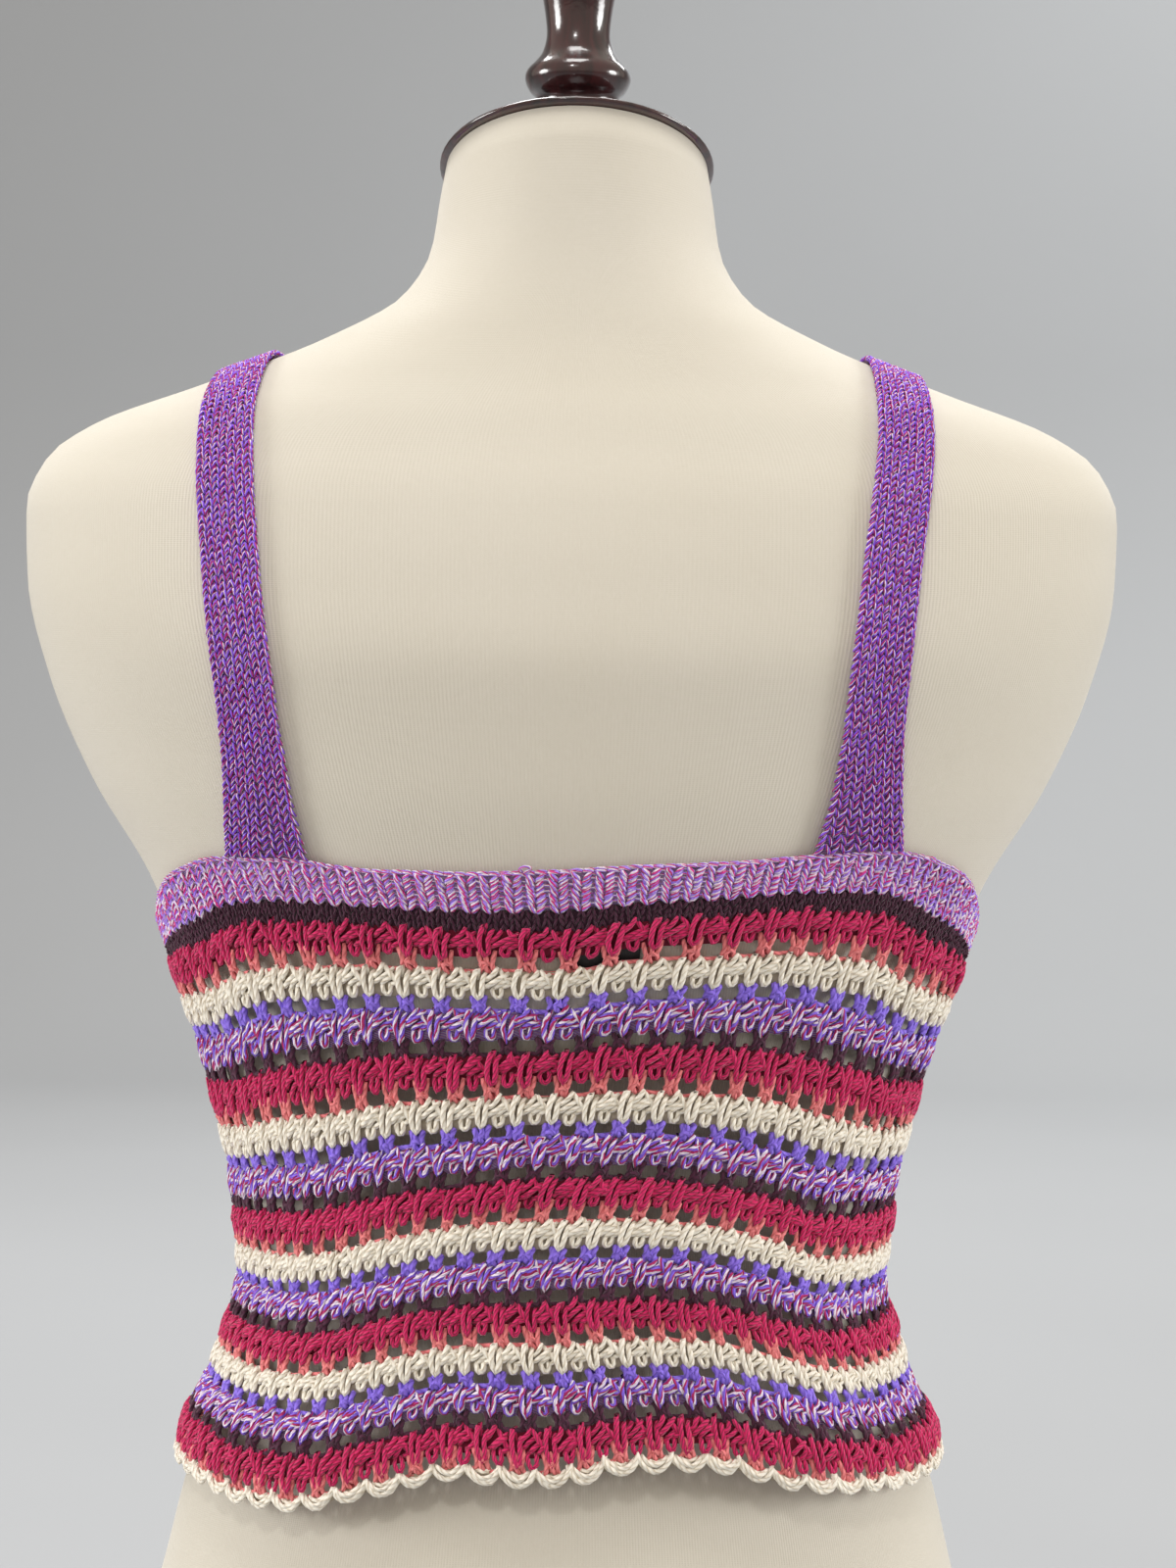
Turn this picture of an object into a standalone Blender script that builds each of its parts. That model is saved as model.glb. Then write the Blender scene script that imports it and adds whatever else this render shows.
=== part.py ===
"""Striped openwork crop top on its dress form.

The top is a back and a front panel of openwork rows, a ribbed band along the top of each,
two knitted straps and a small blank label inside the back.  It is worn by a limbless dress
form: a smooth torso on a base board, with a neck cap and a turned finial.

Metres, Z up, origin under the middle of the base board.  The back of the top faces +Y, and
angles round the body are counted from +X over the back.
"""

import math
from collections import namedtuple

import bmesh
import bpy
import numpy as np
from mathutils import Matrix

OBJECT_NAME = "crop_top_on_dress_form"

# Gaps
SEAM = 0.0003                # between pieces that are sewn or seated on each other
CLEARANCE = 0.0014           # from the form to the inside of the panels and bands
STRAP_REST = 0.0006          # from the shoulder to the underside of a strap

# Knitted cloth
REPEATS = 32                 # openwork repeats across one panel
RIBS_PER_REPEAT = 2          # ribs of the band over one repeat
GAP_SHARE = 0.60             # share of a repeat that a gap takes
BAND_HEIGHT = 0.0150
FIRST_PLUM = 0.0070          # plain row under the band
CRIMSON = 0.0093
CORAL = 0.0050
CREAM = 0.0093
VIOLET = 0.0045
MARL = 0.0096
PLUM = 0.0048
FULL_STRIPES = 4             # complete sets of six rows
HEM = 0.0050                 # cream edging
SCALLOP = 0.0016             # depth of a scallop of the edging
ROW_WALL = 0.0016            # cloth in the openwork rows
ROW_RAISE = 0.0014           # how far a thick row stands out beyond them
RIB_RAISE = 0.0008
STRETCH = 0.36               # how much wider a repeat is pulled over the shoulder blades
SMOOTHING = 0.0015           # rounding where the cloth leaves the form
CLOTH_SQUARENESS = 2.15
REPEAT_WIDTH = 0.011         # usual width of a repeat

# Straps
STRAP_WALL = 0.0020
STRAP_STATIONS = 34
SHOULDER_HEIGHT = 0.500      # the middle round which a strap's stations are counted
SHOULDER_DEPTH = 0.008
STRAP_EDGE_ROLL = 0.0004
FARTHEST = 0.2               # a ray from the shoulder's middle ends within this
SLOPE_STEP = 0.002           # distance over which the shoulder's slope is read

# Label inside the back
LABEL_MIDDLE = -0.0135
LABEL_WIDTH = 0.024
LABEL_TOP = 0.0170           # below the top edge of the band, down the cloth
LABEL_HEIGHT = 0.0200
LABEL_WALL = 0.0004
LABEL_OFF_FORM = 0.0005
BACK_RADIUS = 0.095          # of the figure's back there, to turn widths into angles
LABEL_COLUMNS = 5
LABEL_ROWS = 4

# Dress form
MIDDLE_SHIFT = 0.0083        # of the whole figure to the back, so that its depth is centred
BOARD_THICKNESS = 0.0150
BOARD_MARGIN = 0.0040        # how far the board stands in from the torso's edge
BOARD_ROUNDING = 0.0030
NECK_TILT = 0.37             # slope of the neck's top, rising to the back
TILT_FROM = 0.622            # height where the sections begin to tilt
NECK_TOP = 0.660
CAP_RADIUS = 0.0490
CAP_RIM = 0.0030
CAP_DOME = 0.0052
CAP_EDGE_ROUNDING = 0.0015
BUST_HEIGHT = 0.398
BUST_FULLNESS = 0.022
BUST_ANGLE = 32.0            # of each side's fullness from the middle of the front
BUST_SPREAD = 22.0
BUST_ABOVE = 0.052
BUST_BELOW = 0.036
FORM_COLUMNS = 40
FORM_RINGS = 31
FINIAL_STEPS = 20
SEAT_CUTTER = 0.2            # side of the block that cuts the finial's foot to the cap
CAP_STEPS = 32

FormSection = namedtuple("FormSection", "height half_width back front centre squareness")
FORM_SECTIONS = (
    FormSection(0.0153, 0.1540, 0.0980, 0.0880, 0.000, 2.15),
    FormSection(0.0650, 0.1585, 0.1040, 0.0920, 0.000, 2.15),
    FormSection(0.1150, 0.1530, 0.1030, 0.0930, 0.000, 2.15),
    FormSection(0.1650, 0.1390, 0.0930, 0.0880, 0.000, 2.12),
    FormSection(0.2029, 0.1295, 0.0810, 0.0820, 0.000, 2.10),
    FormSection(0.2340, 0.1160, 0.0710, 0.0770, 0.000, 2.10),
    FormSection(0.2680, 0.1085, 0.0660, 0.0750, 0.000, 2.10),
    FormSection(0.3030, 0.1115, 0.0690, 0.0790, 0.000, 2.10),
    FormSection(0.3375, 0.1200, 0.0780, 0.0880, 0.000, 2.10),
    FormSection(0.3720, 0.1325, 0.0870, 0.0980, 0.000, 2.12),
    FormSection(0.4065, 0.1460, 0.0940, 0.1040, 0.000, 2.15),
    FormSection(0.4410, 0.1670, 0.0980, 0.0990, 0.000, 2.20),
    FormSection(0.4755, 0.1820, 0.0980, 0.0900, 0.000, 2.30),
    FormSection(0.5100, 0.1905, 0.0900, 0.0780, 0.000, 2.35),
    FormSection(0.5360, 0.1915, 0.0800, 0.0680, 0.000, 2.35),
    FormSection(0.5530, 0.1850, 0.0720, 0.0600, -0.002, 2.30),
    FormSection(0.5650, 0.1690, 0.0660, 0.0550, -0.003, 2.25),
    FormSection(0.5790, 0.1330, 0.0590, 0.0510, -0.005, 2.20),
    FormSection(0.5962, 0.0900, 0.0530, 0.0480, -0.008, 2.15),
    FormSection(0.6135, 0.0610, 0.0500, 0.0480, -0.012, 2.10),
    FormSection(0.6307, 0.0515, 0.0480, 0.0460, -0.016, 2.05),
    FormSection(0.6480, 0.0490, 0.0460, 0.0440, -0.020, 2.00),
    FormSection(0.6600, 0.0470, 0.0440, 0.0440, -0.023, 2.00),
)

ClothSection = namedtuple("ClothSection", "height half_width back front")
CLOTH_SECTIONS = (
    ClothSection(0.1980, 0.1360, 0.0940, 0.1050),
    ClothSection(0.2167, 0.1330, 0.0930, 0.1035),
    ClothSection(0.2340, 0.1235, 0.0910, 0.1020),
    ClothSection(0.2512, 0.1185, 0.0900, 0.1020),
    ClothSection(0.2685, 0.1130, 0.0890, 0.1025),
    ClothSection(0.2857, 0.1150, 0.0885, 0.1040),
    ClothSection(0.3030, 0.1165, 0.0885, 0.1065),
    ClothSection(0.3202, 0.1210, 0.0890, 0.1095),
    ClothSection(0.3375, 0.1250, 0.0900, 0.1130),
    ClothSection(0.3547, 0.1290, 0.0910, 0.1160),
    ClothSection(0.3720, 0.1365, 0.0920, 0.1190),
    ClothSection(0.3892, 0.1415, 0.0935, 0.1200),
    ClothSection(0.4250, 0.1500, 0.0950, 0.1170),
    ClothSection(0.4500, 0.1600, 0.0950, 0.1080),
)

# Heights of four rows of the cloth at stations round the body: the top edge of the band,
# the top of the first and of the third crimson row, and the hem
RowStation = namedtuple("RowStation", "angle band crimson_one crimson_three hem")
ROW_STATIONS = (
    RowStation(0, 0.3910, 0.3775, 0.2915, 0.2055),
    RowStation(20, 0.4095, 0.3850, 0.2935, 0.2015),
    RowStation(30, 0.4150, 0.3925, 0.2950, 0.1985),
    RowStation(40, 0.4150, 0.3945, 0.2975, 0.1985),
    RowStation(54, 0.4120, 0.3942, 0.3040, 0.2055),
    RowStation(70, 0.4115, 0.3930, 0.3085, 0.2118),
    RowStation(86, 0.4125, 0.3930, 0.3110, 0.2105),
    RowStation(104, 0.4145, 0.3965, 0.3117, 0.2148),
    RowStation(120, 0.4160, 0.3985, 0.3095, 0.2155),
    RowStation(134, 0.4185, 0.4005, 0.3045, 0.2090),
    RowStation(146, 0.4200, 0.3995, 0.2970, 0.2055),
    RowStation(158, 0.4140, 0.3900, 0.2955, 0.2045),
    RowStation(180, 0.3930, 0.3795, 0.2955, 0.2075),
    RowStation(200, 0.4120, 0.3890, 0.3010, 0.2110),
    RowStation(222, 0.4390, 0.4180, 0.3140, 0.2150),
    RowStation(246, 0.4370, 0.4165, 0.3260, 0.2235),
    RowStation(270, 0.4340, 0.4135, 0.3285, 0.2255),
    RowStation(294, 0.4370, 0.4165, 0.3260, 0.2235),
    RowStation(318, 0.4390, 0.4180, 0.3140, 0.2150),
    RowStation(340, 0.4110, 0.3880, 0.3000, 0.2095),
)

# Soft folds of the hanging cloth: middle and half width in degrees, depth, and the middle
# and reach of the fold down the cloth
Fold = namedtuple("Fold", "angle spread depth down reach")
FOLDS = (
    Fold(40, 14, 0.0040, 0.200, 0.045),
    Fold(66, 9, -0.0020, 0.190, 0.040),
    Fold(112, 12, -0.0025, 0.195, 0.045),
    Fold(140, 12, 0.0040, 0.195, 0.040),
    Fold(222, 13, 0.0040, 0.190, 0.050),
    Fold(250, 10, -0.0020, 0.185, 0.050),
    Fold(285, 11, 0.0025, 0.195, 0.045),
    Fold(322, 13, 0.0040, 0.195, 0.050),
)
SEAM_DRIFT = 9.0             # degrees by which the -X side seam turns to the back
SEAM_DRIFT_DOWN = 0.145
SEAM_DRIFT_REACH = 0.040

# Middle line and half widths of a strap, from the back band over the shoulder
StrapStation = namedtuple("StrapStation", "along middle inner outer")
LEFT_STRAP = (
    StrapStation(0.00, 0.1010, 0.0170, 0.0110),
    StrapStation(0.04, 0.1020, 0.0118, 0.0104),
    StrapStation(0.09, 0.1045, 0.0098, 0.0096),
    StrapStation(0.20, 0.1110, 0.0093, 0.0093),
    StrapStation(0.38, 0.1165, 0.0093, 0.0093),
    StrapStation(0.52, 0.1130, 0.0092, 0.0092),
    StrapStation(0.70, 0.1080, 0.0093, 0.0093),
    StrapStation(0.92, 0.0980, 0.0098, 0.0096),
    StrapStation(0.97, 0.0960, 0.0118, 0.0104),
    StrapStation(1.00, 0.0950, 0.0170, 0.0110),
)
RIGHT_STRAP = (
    StrapStation(0.00, 0.0985, 0.0180, 0.0120),
    StrapStation(0.04, 0.0990, 0.0120, 0.0106),
    StrapStation(0.09, 0.1005, 0.0098, 0.0096),
    StrapStation(0.20, 0.1055, 0.0093, 0.0093),
    StrapStation(0.38, 0.1125, 0.0093, 0.0093),
    StrapStation(0.52, 0.1110, 0.0092, 0.0092),
    StrapStation(0.70, 0.1065, 0.0093, 0.0093),
    StrapStation(0.92, 0.0970, 0.0098, 0.0096),
    StrapStation(0.97, 0.0955, 0.0118, 0.0104),
    StrapStation(1.00, 0.0950, 0.0170, 0.0110),
)

# Turned profile of the finial above the neck's top: height and radius, from the top down
FINIAL_PROFILE = (
    (0.1100, 0.0000), (0.1090, 0.0060), (0.1050, 0.0115), (0.0980, 0.0158),
    (0.0890, 0.0172), (0.0790, 0.0162), (0.0690, 0.0142), (0.0580, 0.0122),
    (0.0500, 0.0115), (0.0440, 0.0128), (0.0405, 0.0152), (0.0370, 0.0184),
    (0.0335, 0.0190), (0.0295, 0.0172), (0.0265, 0.0145), (0.0205, 0.0150),
    (0.0160, 0.0178), (0.0130, 0.0195), (-0.0120, 0.0195), (-0.0120, 0.0000),
)

Line = namedtuple("Line", "down raised places opens dips")


def smooth_slopes(knots, values):
    """Slopes at the knots of a curve through the values that never overshoots them."""
    step = np.diff(knots)[:, None]
    rise = np.diff(values, axis=0) / step
    slopes = np.zeros_like(values)
    slopes[0] = rise[0]
    slopes[-1] = rise[-1]
    before = rise[:-1]
    after = rise[1:]
    same = before * after > 0
    total = np.where(same, before + after, 1.0)
    slopes[1:-1] = np.where(same, 2.0 * before * after / total, 0.0)
    return slopes


def smooth_columns(knots, values, at):
    """Reads column j of the values at at[j], on the smooth curve through the knots."""
    slopes = smooth_slopes(knots, values)
    index = np.clip(np.searchsorted(knots, at, side="right") - 1, 0, len(knots) - 2)
    column = np.arange(len(at))
    step = knots[index + 1] - knots[index]
    t = (at - knots[index]) / step
    low = values[index, column]
    high = values[index + 1, column]
    low_slope = slopes[index, column] * step
    high_slope = slopes[index + 1, column] * step
    return ((2 * t ** 3 - 3 * t ** 2 + 1) * low + (t ** 3 - 2 * t ** 2 + t) * low_slope
            + (3 * t ** 2 - 2 * t ** 3) * high + (t ** 3 - t ** 2) * high_slope)


def smooth_curve(knots, values, at):
    """Reads a smooth curve through the values at any array of places."""
    slopes = smooth_slopes(knots, values[:, None])[:, 0]
    index = np.clip(np.searchsorted(knots, at, side="right") - 1, 0, len(knots) - 2)
    step = knots[index + 1] - knots[index]
    t = (at - knots[index]) / step
    return ((2 * t ** 3 - 3 * t ** 2 + 1) * values[index]
            + (t ** 3 - 2 * t ** 2 + t) * slopes[index] * step
            + (3 * t ** 2 - 2 * t ** 3) * values[index + 1]
            + (t ** 3 - t ** 2) * slopes[index + 1] * step)


def read_table(table, key, field, at):
    """Reads one named column of a table on a smooth curve over its key column."""
    knots = np.array([getattr(row, key) for row in table], dtype=float)
    values = np.array([getattr(row, field) for row in table], dtype=float)
    return smooth_curve(knots, values, np.clip(at, knots[0], knots[-1]))


def read_stations(field, angle):
    """Reads a row's height all round the body from the station table."""
    rows = [(row.angle, getattr(row, field)) for row in ROW_STATIONS]
    closed = ([(a - 360, h) for a, h in rows[-3:]] + rows + [(a + 360, h) for a, h in rows[:3]])
    knots = np.radians([a for a, _ in closed])
    values = np.array([h for _, h in closed])
    return smooth_curve(knots, values, np.mod(angle, 2 * math.pi))


def oval_radius(half_width, back, front, squareness, angle):
    """Distance from the middle to a squared oval that is deeper on one side."""
    depth = np.where(np.sin(angle) >= 0, back, front)
    return ((np.abs(np.cos(angle)) / half_width) ** squareness
            + (np.abs(np.sin(angle)) / depth) ** squareness) ** (-1 / squareness)


def form_radius(height, angle):
    """Distance from a section's centre to the dress form."""
    parts = [read_table(FORM_SECTIONS, "height", field, height)
             for field in ("half_width", "back", "front", "squareness")]
    radius = oval_radius(*parts, angle)
    reach = np.where(height > BUST_HEIGHT, BUST_ABOVE, BUST_BELOW)
    level = np.exp(-((height - BUST_HEIGHT) / reach) ** 2)
    turned = np.degrees(np.mod(angle, 2 * math.pi)) - 270.0
    sides = (np.exp(-((turned - BUST_ANGLE) / BUST_SPREAD) ** 2)
             + np.exp(-((turned + BUST_ANGLE) / BUST_SPREAD) ** 2))
    return radius + BUST_FULLNESS * level * sides


def form_centre(height):
    """Place of a section's centre from front to back."""
    return MIDDLE_SHIFT + read_table(FORM_SECTIONS, "height", "centre", height)


def row_knots():
    """Places down the cloth of the four rows in the station table."""
    first = BAND_HEIGHT + SEAM + FIRST_PLUM
    stripe = CRIMSON + CORAL + CREAM + VIOLET + MARL + PLUM
    hem = first + FULL_STRIPES * stripe + CRIMSON + CORAL + HEM
    return np.array([0.0, first, first + 2 * stripe, hem])


def cloth_height(down, angle):
    """Height of the cloth at a distance down from its top edge."""
    fields = ("band", "crimson_one", "crimson_three", "hem")
    heights = np.array([read_stations(field, angle) for field in fields])
    return smooth_columns(row_knots(), heights, down)


def cloth_radius(height, angle, down):
    """Distance from the middle to the inside of the cloth.

    It is the hanging shape of the cloth or the form with its clearance, whichever is
    farther out, with a soft change from one to the other.
    """
    parts = [read_table(CLOTH_SECTIONS, "height", field, height)
             for field in ("half_width", "back", "front")]
    hanging = oval_radius(*parts, CLOTH_SQUARENESS, angle) - ROW_WALL - ROW_RAISE
    for fold in FOLDS:
        turn = (np.degrees(angle) - fold.angle) / fold.spread
        level = (down - fold.down) / fold.reach
        hanging = hanging + fold.depth * np.exp(-turn ** 2 - level ** 2)
    worn = form_radius(height, angle) + CLEARANCE
    return SMOOTHING * np.logaddexp(hanging / SMOOTHING, worn / SMOOTHING)


def cloth_points(down, angle, out):
    """Points of the cloth at places down and round it, moved out from its inside."""
    down = np.broadcast_to(down, angle.shape).astype(float)
    height = cloth_height(down, angle)
    radius = cloth_radius(height, angle, down) + out
    centre = form_centre(height)
    return np.stack([radius * np.cos(angle), centre + radius * np.sin(angle), height], axis=1)


def repeat_angles(down, places):
    """Angles round the body of places that are counted in repeats along a row.

    A repeat takes the same length of cloth all along a row, but is pulled wider over the
    shoulder blades.  The back takes the places from 0 to REPEATS, the front the rest.
    """
    angle = np.linspace(0.0, 2 * math.pi, 721)
    points = cloth_points(down, angle, ROW_WALL)
    length = np.linalg.norm(np.diff(points, axis=0), axis=1)
    middle = (angle[1:] + angle[:-1]) / 2
    pulled = STRETCH * (1 - down / row_knots()[-1]) * np.sin(middle) ** 4
    along = np.concatenate([[0.0], np.cumsum(length / (1 + pulled))])
    drift = SEAM_DRIFT * math.exp(-((down - SEAM_DRIFT_DOWN) / SEAM_DRIFT_REACH) ** 2)
    at_seam = np.interp(math.pi - math.radians(drift), angle, along)
    share = np.where(along <= at_seam, REPEATS * along / at_seam,
                     REPEATS + REPEATS * (along - at_seam) / (along[-1] - at_seam))
    return np.interp(places, share, angle)


def plain_places():
    """Places of a line's points in the middle of each upright of the openwork."""
    return np.arange(REPEATS + 1.0)


def gap_places():
    """Places of a line's points at the two sides of each gap, and at the panel's ends."""
    middle = np.arange(REPEATS) + 0.5
    sides = np.stack([middle - GAP_SHARE / 2, middle + GAP_SHARE / 2], axis=1).ravel()
    return np.concatenate([[0.0], sides, [float(REPEATS)]])


def half_places():
    """Places of a line's points in the middle of each upright and of each gap."""
    return np.arange(2 * REPEATS + 1) / 2.0


def scallop_dips(places):
    """How far the edging hangs lower under each upright than between them."""
    return SCALLOP * (np.cos(2 * math.pi * places) - 1) / 2


def outer_lines():
    """Lines of a panel's outside from the band down to the hem."""
    down = BAND_HEIGHT + SEAM
    lines = [Line(down, 0.0, half_places(), False, 0.0)]
    down += FIRST_PLUM
    lines.append(Line(down, 0.0, plain_places(), False, 0.0))
    for _ in range(FULL_STRIPES):
        lines.append(Line(down + CRIMSON / 2, ROW_RAISE, plain_places(), False, 0.0))
        down += CRIMSON
        lines.append(Line(down, 0.0, gap_places(), True, 0.0))
        down += CORAL
        lines.append(Line(down, 0.0, gap_places(), False, 0.0))
        lines.append(Line(down + CREAM / 2, ROW_RAISE, plain_places(), False, 0.0))
        down += CREAM
        lines.append(Line(down + VIOLET / 2, 0.0, plain_places(), False, 0.0))
        down += VIOLET
        lines.append(Line(down + MARL / 2, ROW_RAISE, plain_places(), False, 0.0))
        down += MARL
        lines.append(Line(down + PLUM / 2, 0.0, plain_places(), False, 0.0))
        down += PLUM
    lines.append(Line(down + CRIMSON / 2, ROW_RAISE, plain_places(), False, 0.0))
    down += CRIMSON
    lines.append(Line(down + CORAL / 2, 0.0, plain_places(), False, 0.0))
    down += CORAL
    lines.append(Line(down + HEM / 2, ROW_RAISE / 2, plain_places(), False, 0.0))
    lines.append(Line(down + HEM, 0.0, half_places(), False, scallop_dips(half_places())))
    return lines


def inner_lines(lines):
    """Lines of a panel's plain inside: its two edges, the gaps and one above the hem."""
    top = lines[0]._replace(places=plain_places())
    kept = [top] + [line for line in lines if len(line.places) == len(gap_places())]
    above_hem = lines[-5]
    return kept + [above_hem, lines[-1]]


def zip_lines(upper, lower, upper_at, lower_at):
    """Triangles between two lines of corners that may have unlike numbers of corners."""
    faces = []
    i = 0
    j = 0
    while i < len(upper) - 1 or j < len(lower) - 1:
        step_upper = i < len(upper) - 1 and (
            j == len(lower) - 1 or upper_at[i + 1] <= lower_at[j + 1])
        if step_upper:
            faces.append((upper[i], lower[j], upper[i + 1]))
            i += 1
        else:
            faces.append((upper[i], lower[j], lower[j + 1]))
            j += 1
    return faces


def skin(lines, out, first, start):
    """Corners and faces of one side of a panel's wall, open at its gaps.

    Returns the points, the faces, the corner numbers of each line, and the corners round
    each gap.
    """
    points = []
    rows = []
    for line in lines:
        inset = SEAM / 2 / REPEAT_WIDTH
        places = np.clip(line.places, inset, REPEATS - inset) + first
        angle = repeat_angles(line.down, places)
        points.append(cloth_points(line.down + line.dips, angle, out + line.raised))
        rows.append(list(range(start, start + len(places))))
        start += len(places)
    faces = []
    gaps = []
    for upper, lower, above, below in zip(rows[:-1], rows[1:], lines[:-1], lines[1:]):
        if not above.opens:
            faces += zip_lines(upper, lower, above.places, below.places)
            continue
        for k in range(0, len(upper) - 1, 2):
            faces.append((upper[k], lower[k], lower[k + 1], upper[k + 1]))
        for k in range(1, len(upper) - 1, 2):
            gaps.append((upper[k], lower[k], lower[k + 1], upper[k + 1]))
    return np.concatenate(points), faces, rows, gaps


def join_sides(outer_rows, inner_rows, outer_lines_list, inner_lines_list):
    """Faces of the wall's four edges, between its outside and its inside."""
    faces = zip_lines(outer_rows[0], inner_rows[0], outer_lines_list[0].places,
                      inner_lines_list[0].places)
    faces += zip_lines(outer_rows[-1], inner_rows[-1], outer_lines_list[-1].places,
                       inner_lines_list[-1].places)
    outer_down = [line.down for line in outer_lines_list]
    inner_down = [line.down for line in inner_lines_list]
    for end in (0, -1):
        faces += zip_lines([row[end] for row in outer_rows], [row[end] for row in inner_rows],
                           outer_down, inner_down)
    return faces


def wall(name, outside, inside, outer_out, first, material):
    """One piece of cloth as a closed wall between its outer and inner lines."""
    points_out, faces_out, rows_out, gaps_out = skin(outside, outer_out, first, 0)
    points_in, faces_in, rows_in, gaps_in = skin(inside, 0.0, first, len(points_out))
    faces = faces_out + faces_in + join_sides(rows_out, rows_in, outside, inside)
    for outer_gap, inner_gap in zip(gaps_out, gaps_in):
        for k in range(4):
            n = (k + 1) % 4
            faces.append((outer_gap[k], outer_gap[n], inner_gap[n], inner_gap[k]))
    return solid(name, np.concatenate([points_out, points_in]), faces, material)


def solid(name, points, faces, material):
    """A named object from corners and faces, with every face turned outwards."""
    mesh = bpy.data.meshes.new(name)
    mesh.from_pydata([tuple(p) for p in points], [], faces)
    work = bmesh.new()
    work.from_mesh(mesh)
    bmesh.ops.recalc_face_normals(work, faces=work.faces)
    bmesh.ops.triangulate(work, faces=work.faces)
    work.to_mesh(mesh)
    work.free()
    return finished(name, mesh, material)


def finished(name, mesh, material):
    """Puts a mesh into the scene as a smooth-shaded object with its material."""
    mesh.materials.append(material)
    mesh.shade_smooth()
    mesh.set_sharp_from_angle(angle=math.radians(40))
    piece = bpy.data.objects.new(name, mesh)
    bpy.data.collections[OBJECT_NAME].objects.link(piece)
    return piece


def build_panels(cloth):
    """The back and the front panel, sewn at the sides."""
    outside = outer_lines()
    inside = inner_lines(outside)
    wall("back_panel", outside, inside, ROW_WALL, 0, cloth)
    wall("front_panel", outside, inside, ROW_WALL, REPEATS, cloth)


def build_bands(cloth):
    """The ribbed bands along the tops of the panels."""
    ribs = REPEATS * RIBS_PER_REPEAT
    places = np.arange(2 * ribs + 1) * (REPEATS / (2 * ribs))
    raised = RIB_RAISE * (np.arange(2 * ribs + 1) % 2)
    outside = [Line(down, raised * full, places, False, 0.0)
               for down, full in ((0.0, 0.5), (BAND_HEIGHT / 2, 1.0), (BAND_HEIGHT, 0.8))]
    inside = [Line(down, 0.0, plain_places(), False, 0.0) for down in (0.0, BAND_HEIGHT)]
    wall("band_back", outside, inside, ROW_WALL, 0, cloth)
    wall("band_front", outside, inside, ROW_WALL, REPEATS, cloth)


def inside_form(points):
    """Whether each point lies inside the dress form."""
    centre = form_centre(points[:, 2])
    away = np.hypot(points[:, 0], points[:, 1] - centre)
    angle = np.arctan2(points[:, 1] - centre, points[:, 0])
    return away < form_radius(points[:, 2], angle)


def shoulder_points(across, turn, out):
    """Points on a strap's path over the shoulder.

    A ray leaves the middle of the shoulder in the upright plane at `across`, turned from
    the back over the top to the front.  It ends on the form, and the point is then moved
    out along the form's own slope there.
    """
    def surface(across_at, turn_at):
        near = np.zeros(across_at.size)
        far = np.full(across_at.size, FARTHEST)
        for _ in range(40):
            middle = (near + far) / 2
            points = np.stack([across_at, SHOULDER_DEPTH + middle * np.cos(turn_at),
                               SHOULDER_HEIGHT + middle * np.sin(turn_at)], axis=1)
            inside = inside_form(points)
            near = np.where(inside, middle, near)
            far = np.where(inside, far, middle)
        return points

    tilt = SLOPE_STEP / BACK_RADIUS
    here = surface(across, turn)
    along = surface(across, turn + tilt) - surface(across, turn - tilt)
    aside = surface(across + SLOPE_STEP, turn) - surface(across - SLOPE_STEP, turn)
    normal = np.cross(aside, along)
    normal /= np.linalg.norm(normal, axis=1)[:, None]
    outward = here - np.array([0.0, SHOULDER_DEPTH, SHOULDER_HEIGHT])
    outward[:, 0] = 0.0
    normal *= np.sign(np.sum(normal * outward, axis=1))[:, None]
    return here + normal * np.broadcast_to(out, turn.shape)[:, None]


def band_edge(across, front):
    """Height of the band's top edge at a distance to the side."""
    angle = np.radians(np.linspace(181, 359, 357) if front else np.linspace(1, 179, 357))
    edge = cloth_points(0.0, angle, ROW_WALL / 2)
    order = np.argsort(edge[:, 0])
    return np.interp(across, edge[order, 0], edge[order, 2])


def end_turn(across, front):
    """Turn about the shoulder at which a strap meets the band's top edge."""
    turn = np.radians(np.linspace(225, 150, 61) if front else np.linspace(-60, 20, 61))
    height = shoulder_points(np.full(turn.size, across), turn, CLEARANCE + ROW_WALL / 2)[:, 2]
    return np.interp(band_edge(across, front) + SEAM, height, turn)


def build_strap(name, side, stations, cloth):
    """A knitted strap from the back band over the shoulder to the front band."""
    shares = np.array([-1.0, -0.5, 0.0, 0.5, 1.0, 0.6, 0.0, -0.6])
    is_out = np.array([1, 1, 1, 1, 1, 0, 0, 0])
    roll = np.array([-1, 0.5, 0, 0.5, -1, 0, 0, 0]) * STRAP_EDGE_ROLL
    along = np.linspace(0.0, 1.0, STRAP_STATIONS)
    rings = []
    for share, outer, rolled in zip(shares, is_out, roll):
        middle = read_table(stations, "along", "middle", along)
        reach = read_table(stations, "along", "outer" if share > 0 else "inner", along)
        across = side * (middle + share * reach)
        start = end_turn(across[0], False)
        finish = end_turn(across[-1], True)
        turn = start + (finish - start) * along
        rest = STRAP_REST + (CLEARANCE - STRAP_REST) * np.abs(2 * along - 1) ** 3
        rings.append(shoulder_points(across, turn, rest + outer * STRAP_WALL + rolled))
    points = np.stack(rings, axis=1).reshape(-1, 3)
    around = len(shares)
    faces = []
    for i in range(STRAP_STATIONS - 1):
        for k in range(around):
            n = (k + 1) % around
            faces.append((i * around + k, i * around + n,
                          (i + 1) * around + n, (i + 1) * around + k))
    last = (STRAP_STATIONS - 1) * around
    faces.append(tuple(range(around)))
    faces.append(tuple(range(last, last + around)))
    return solid(name, points, faces, cloth)


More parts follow.
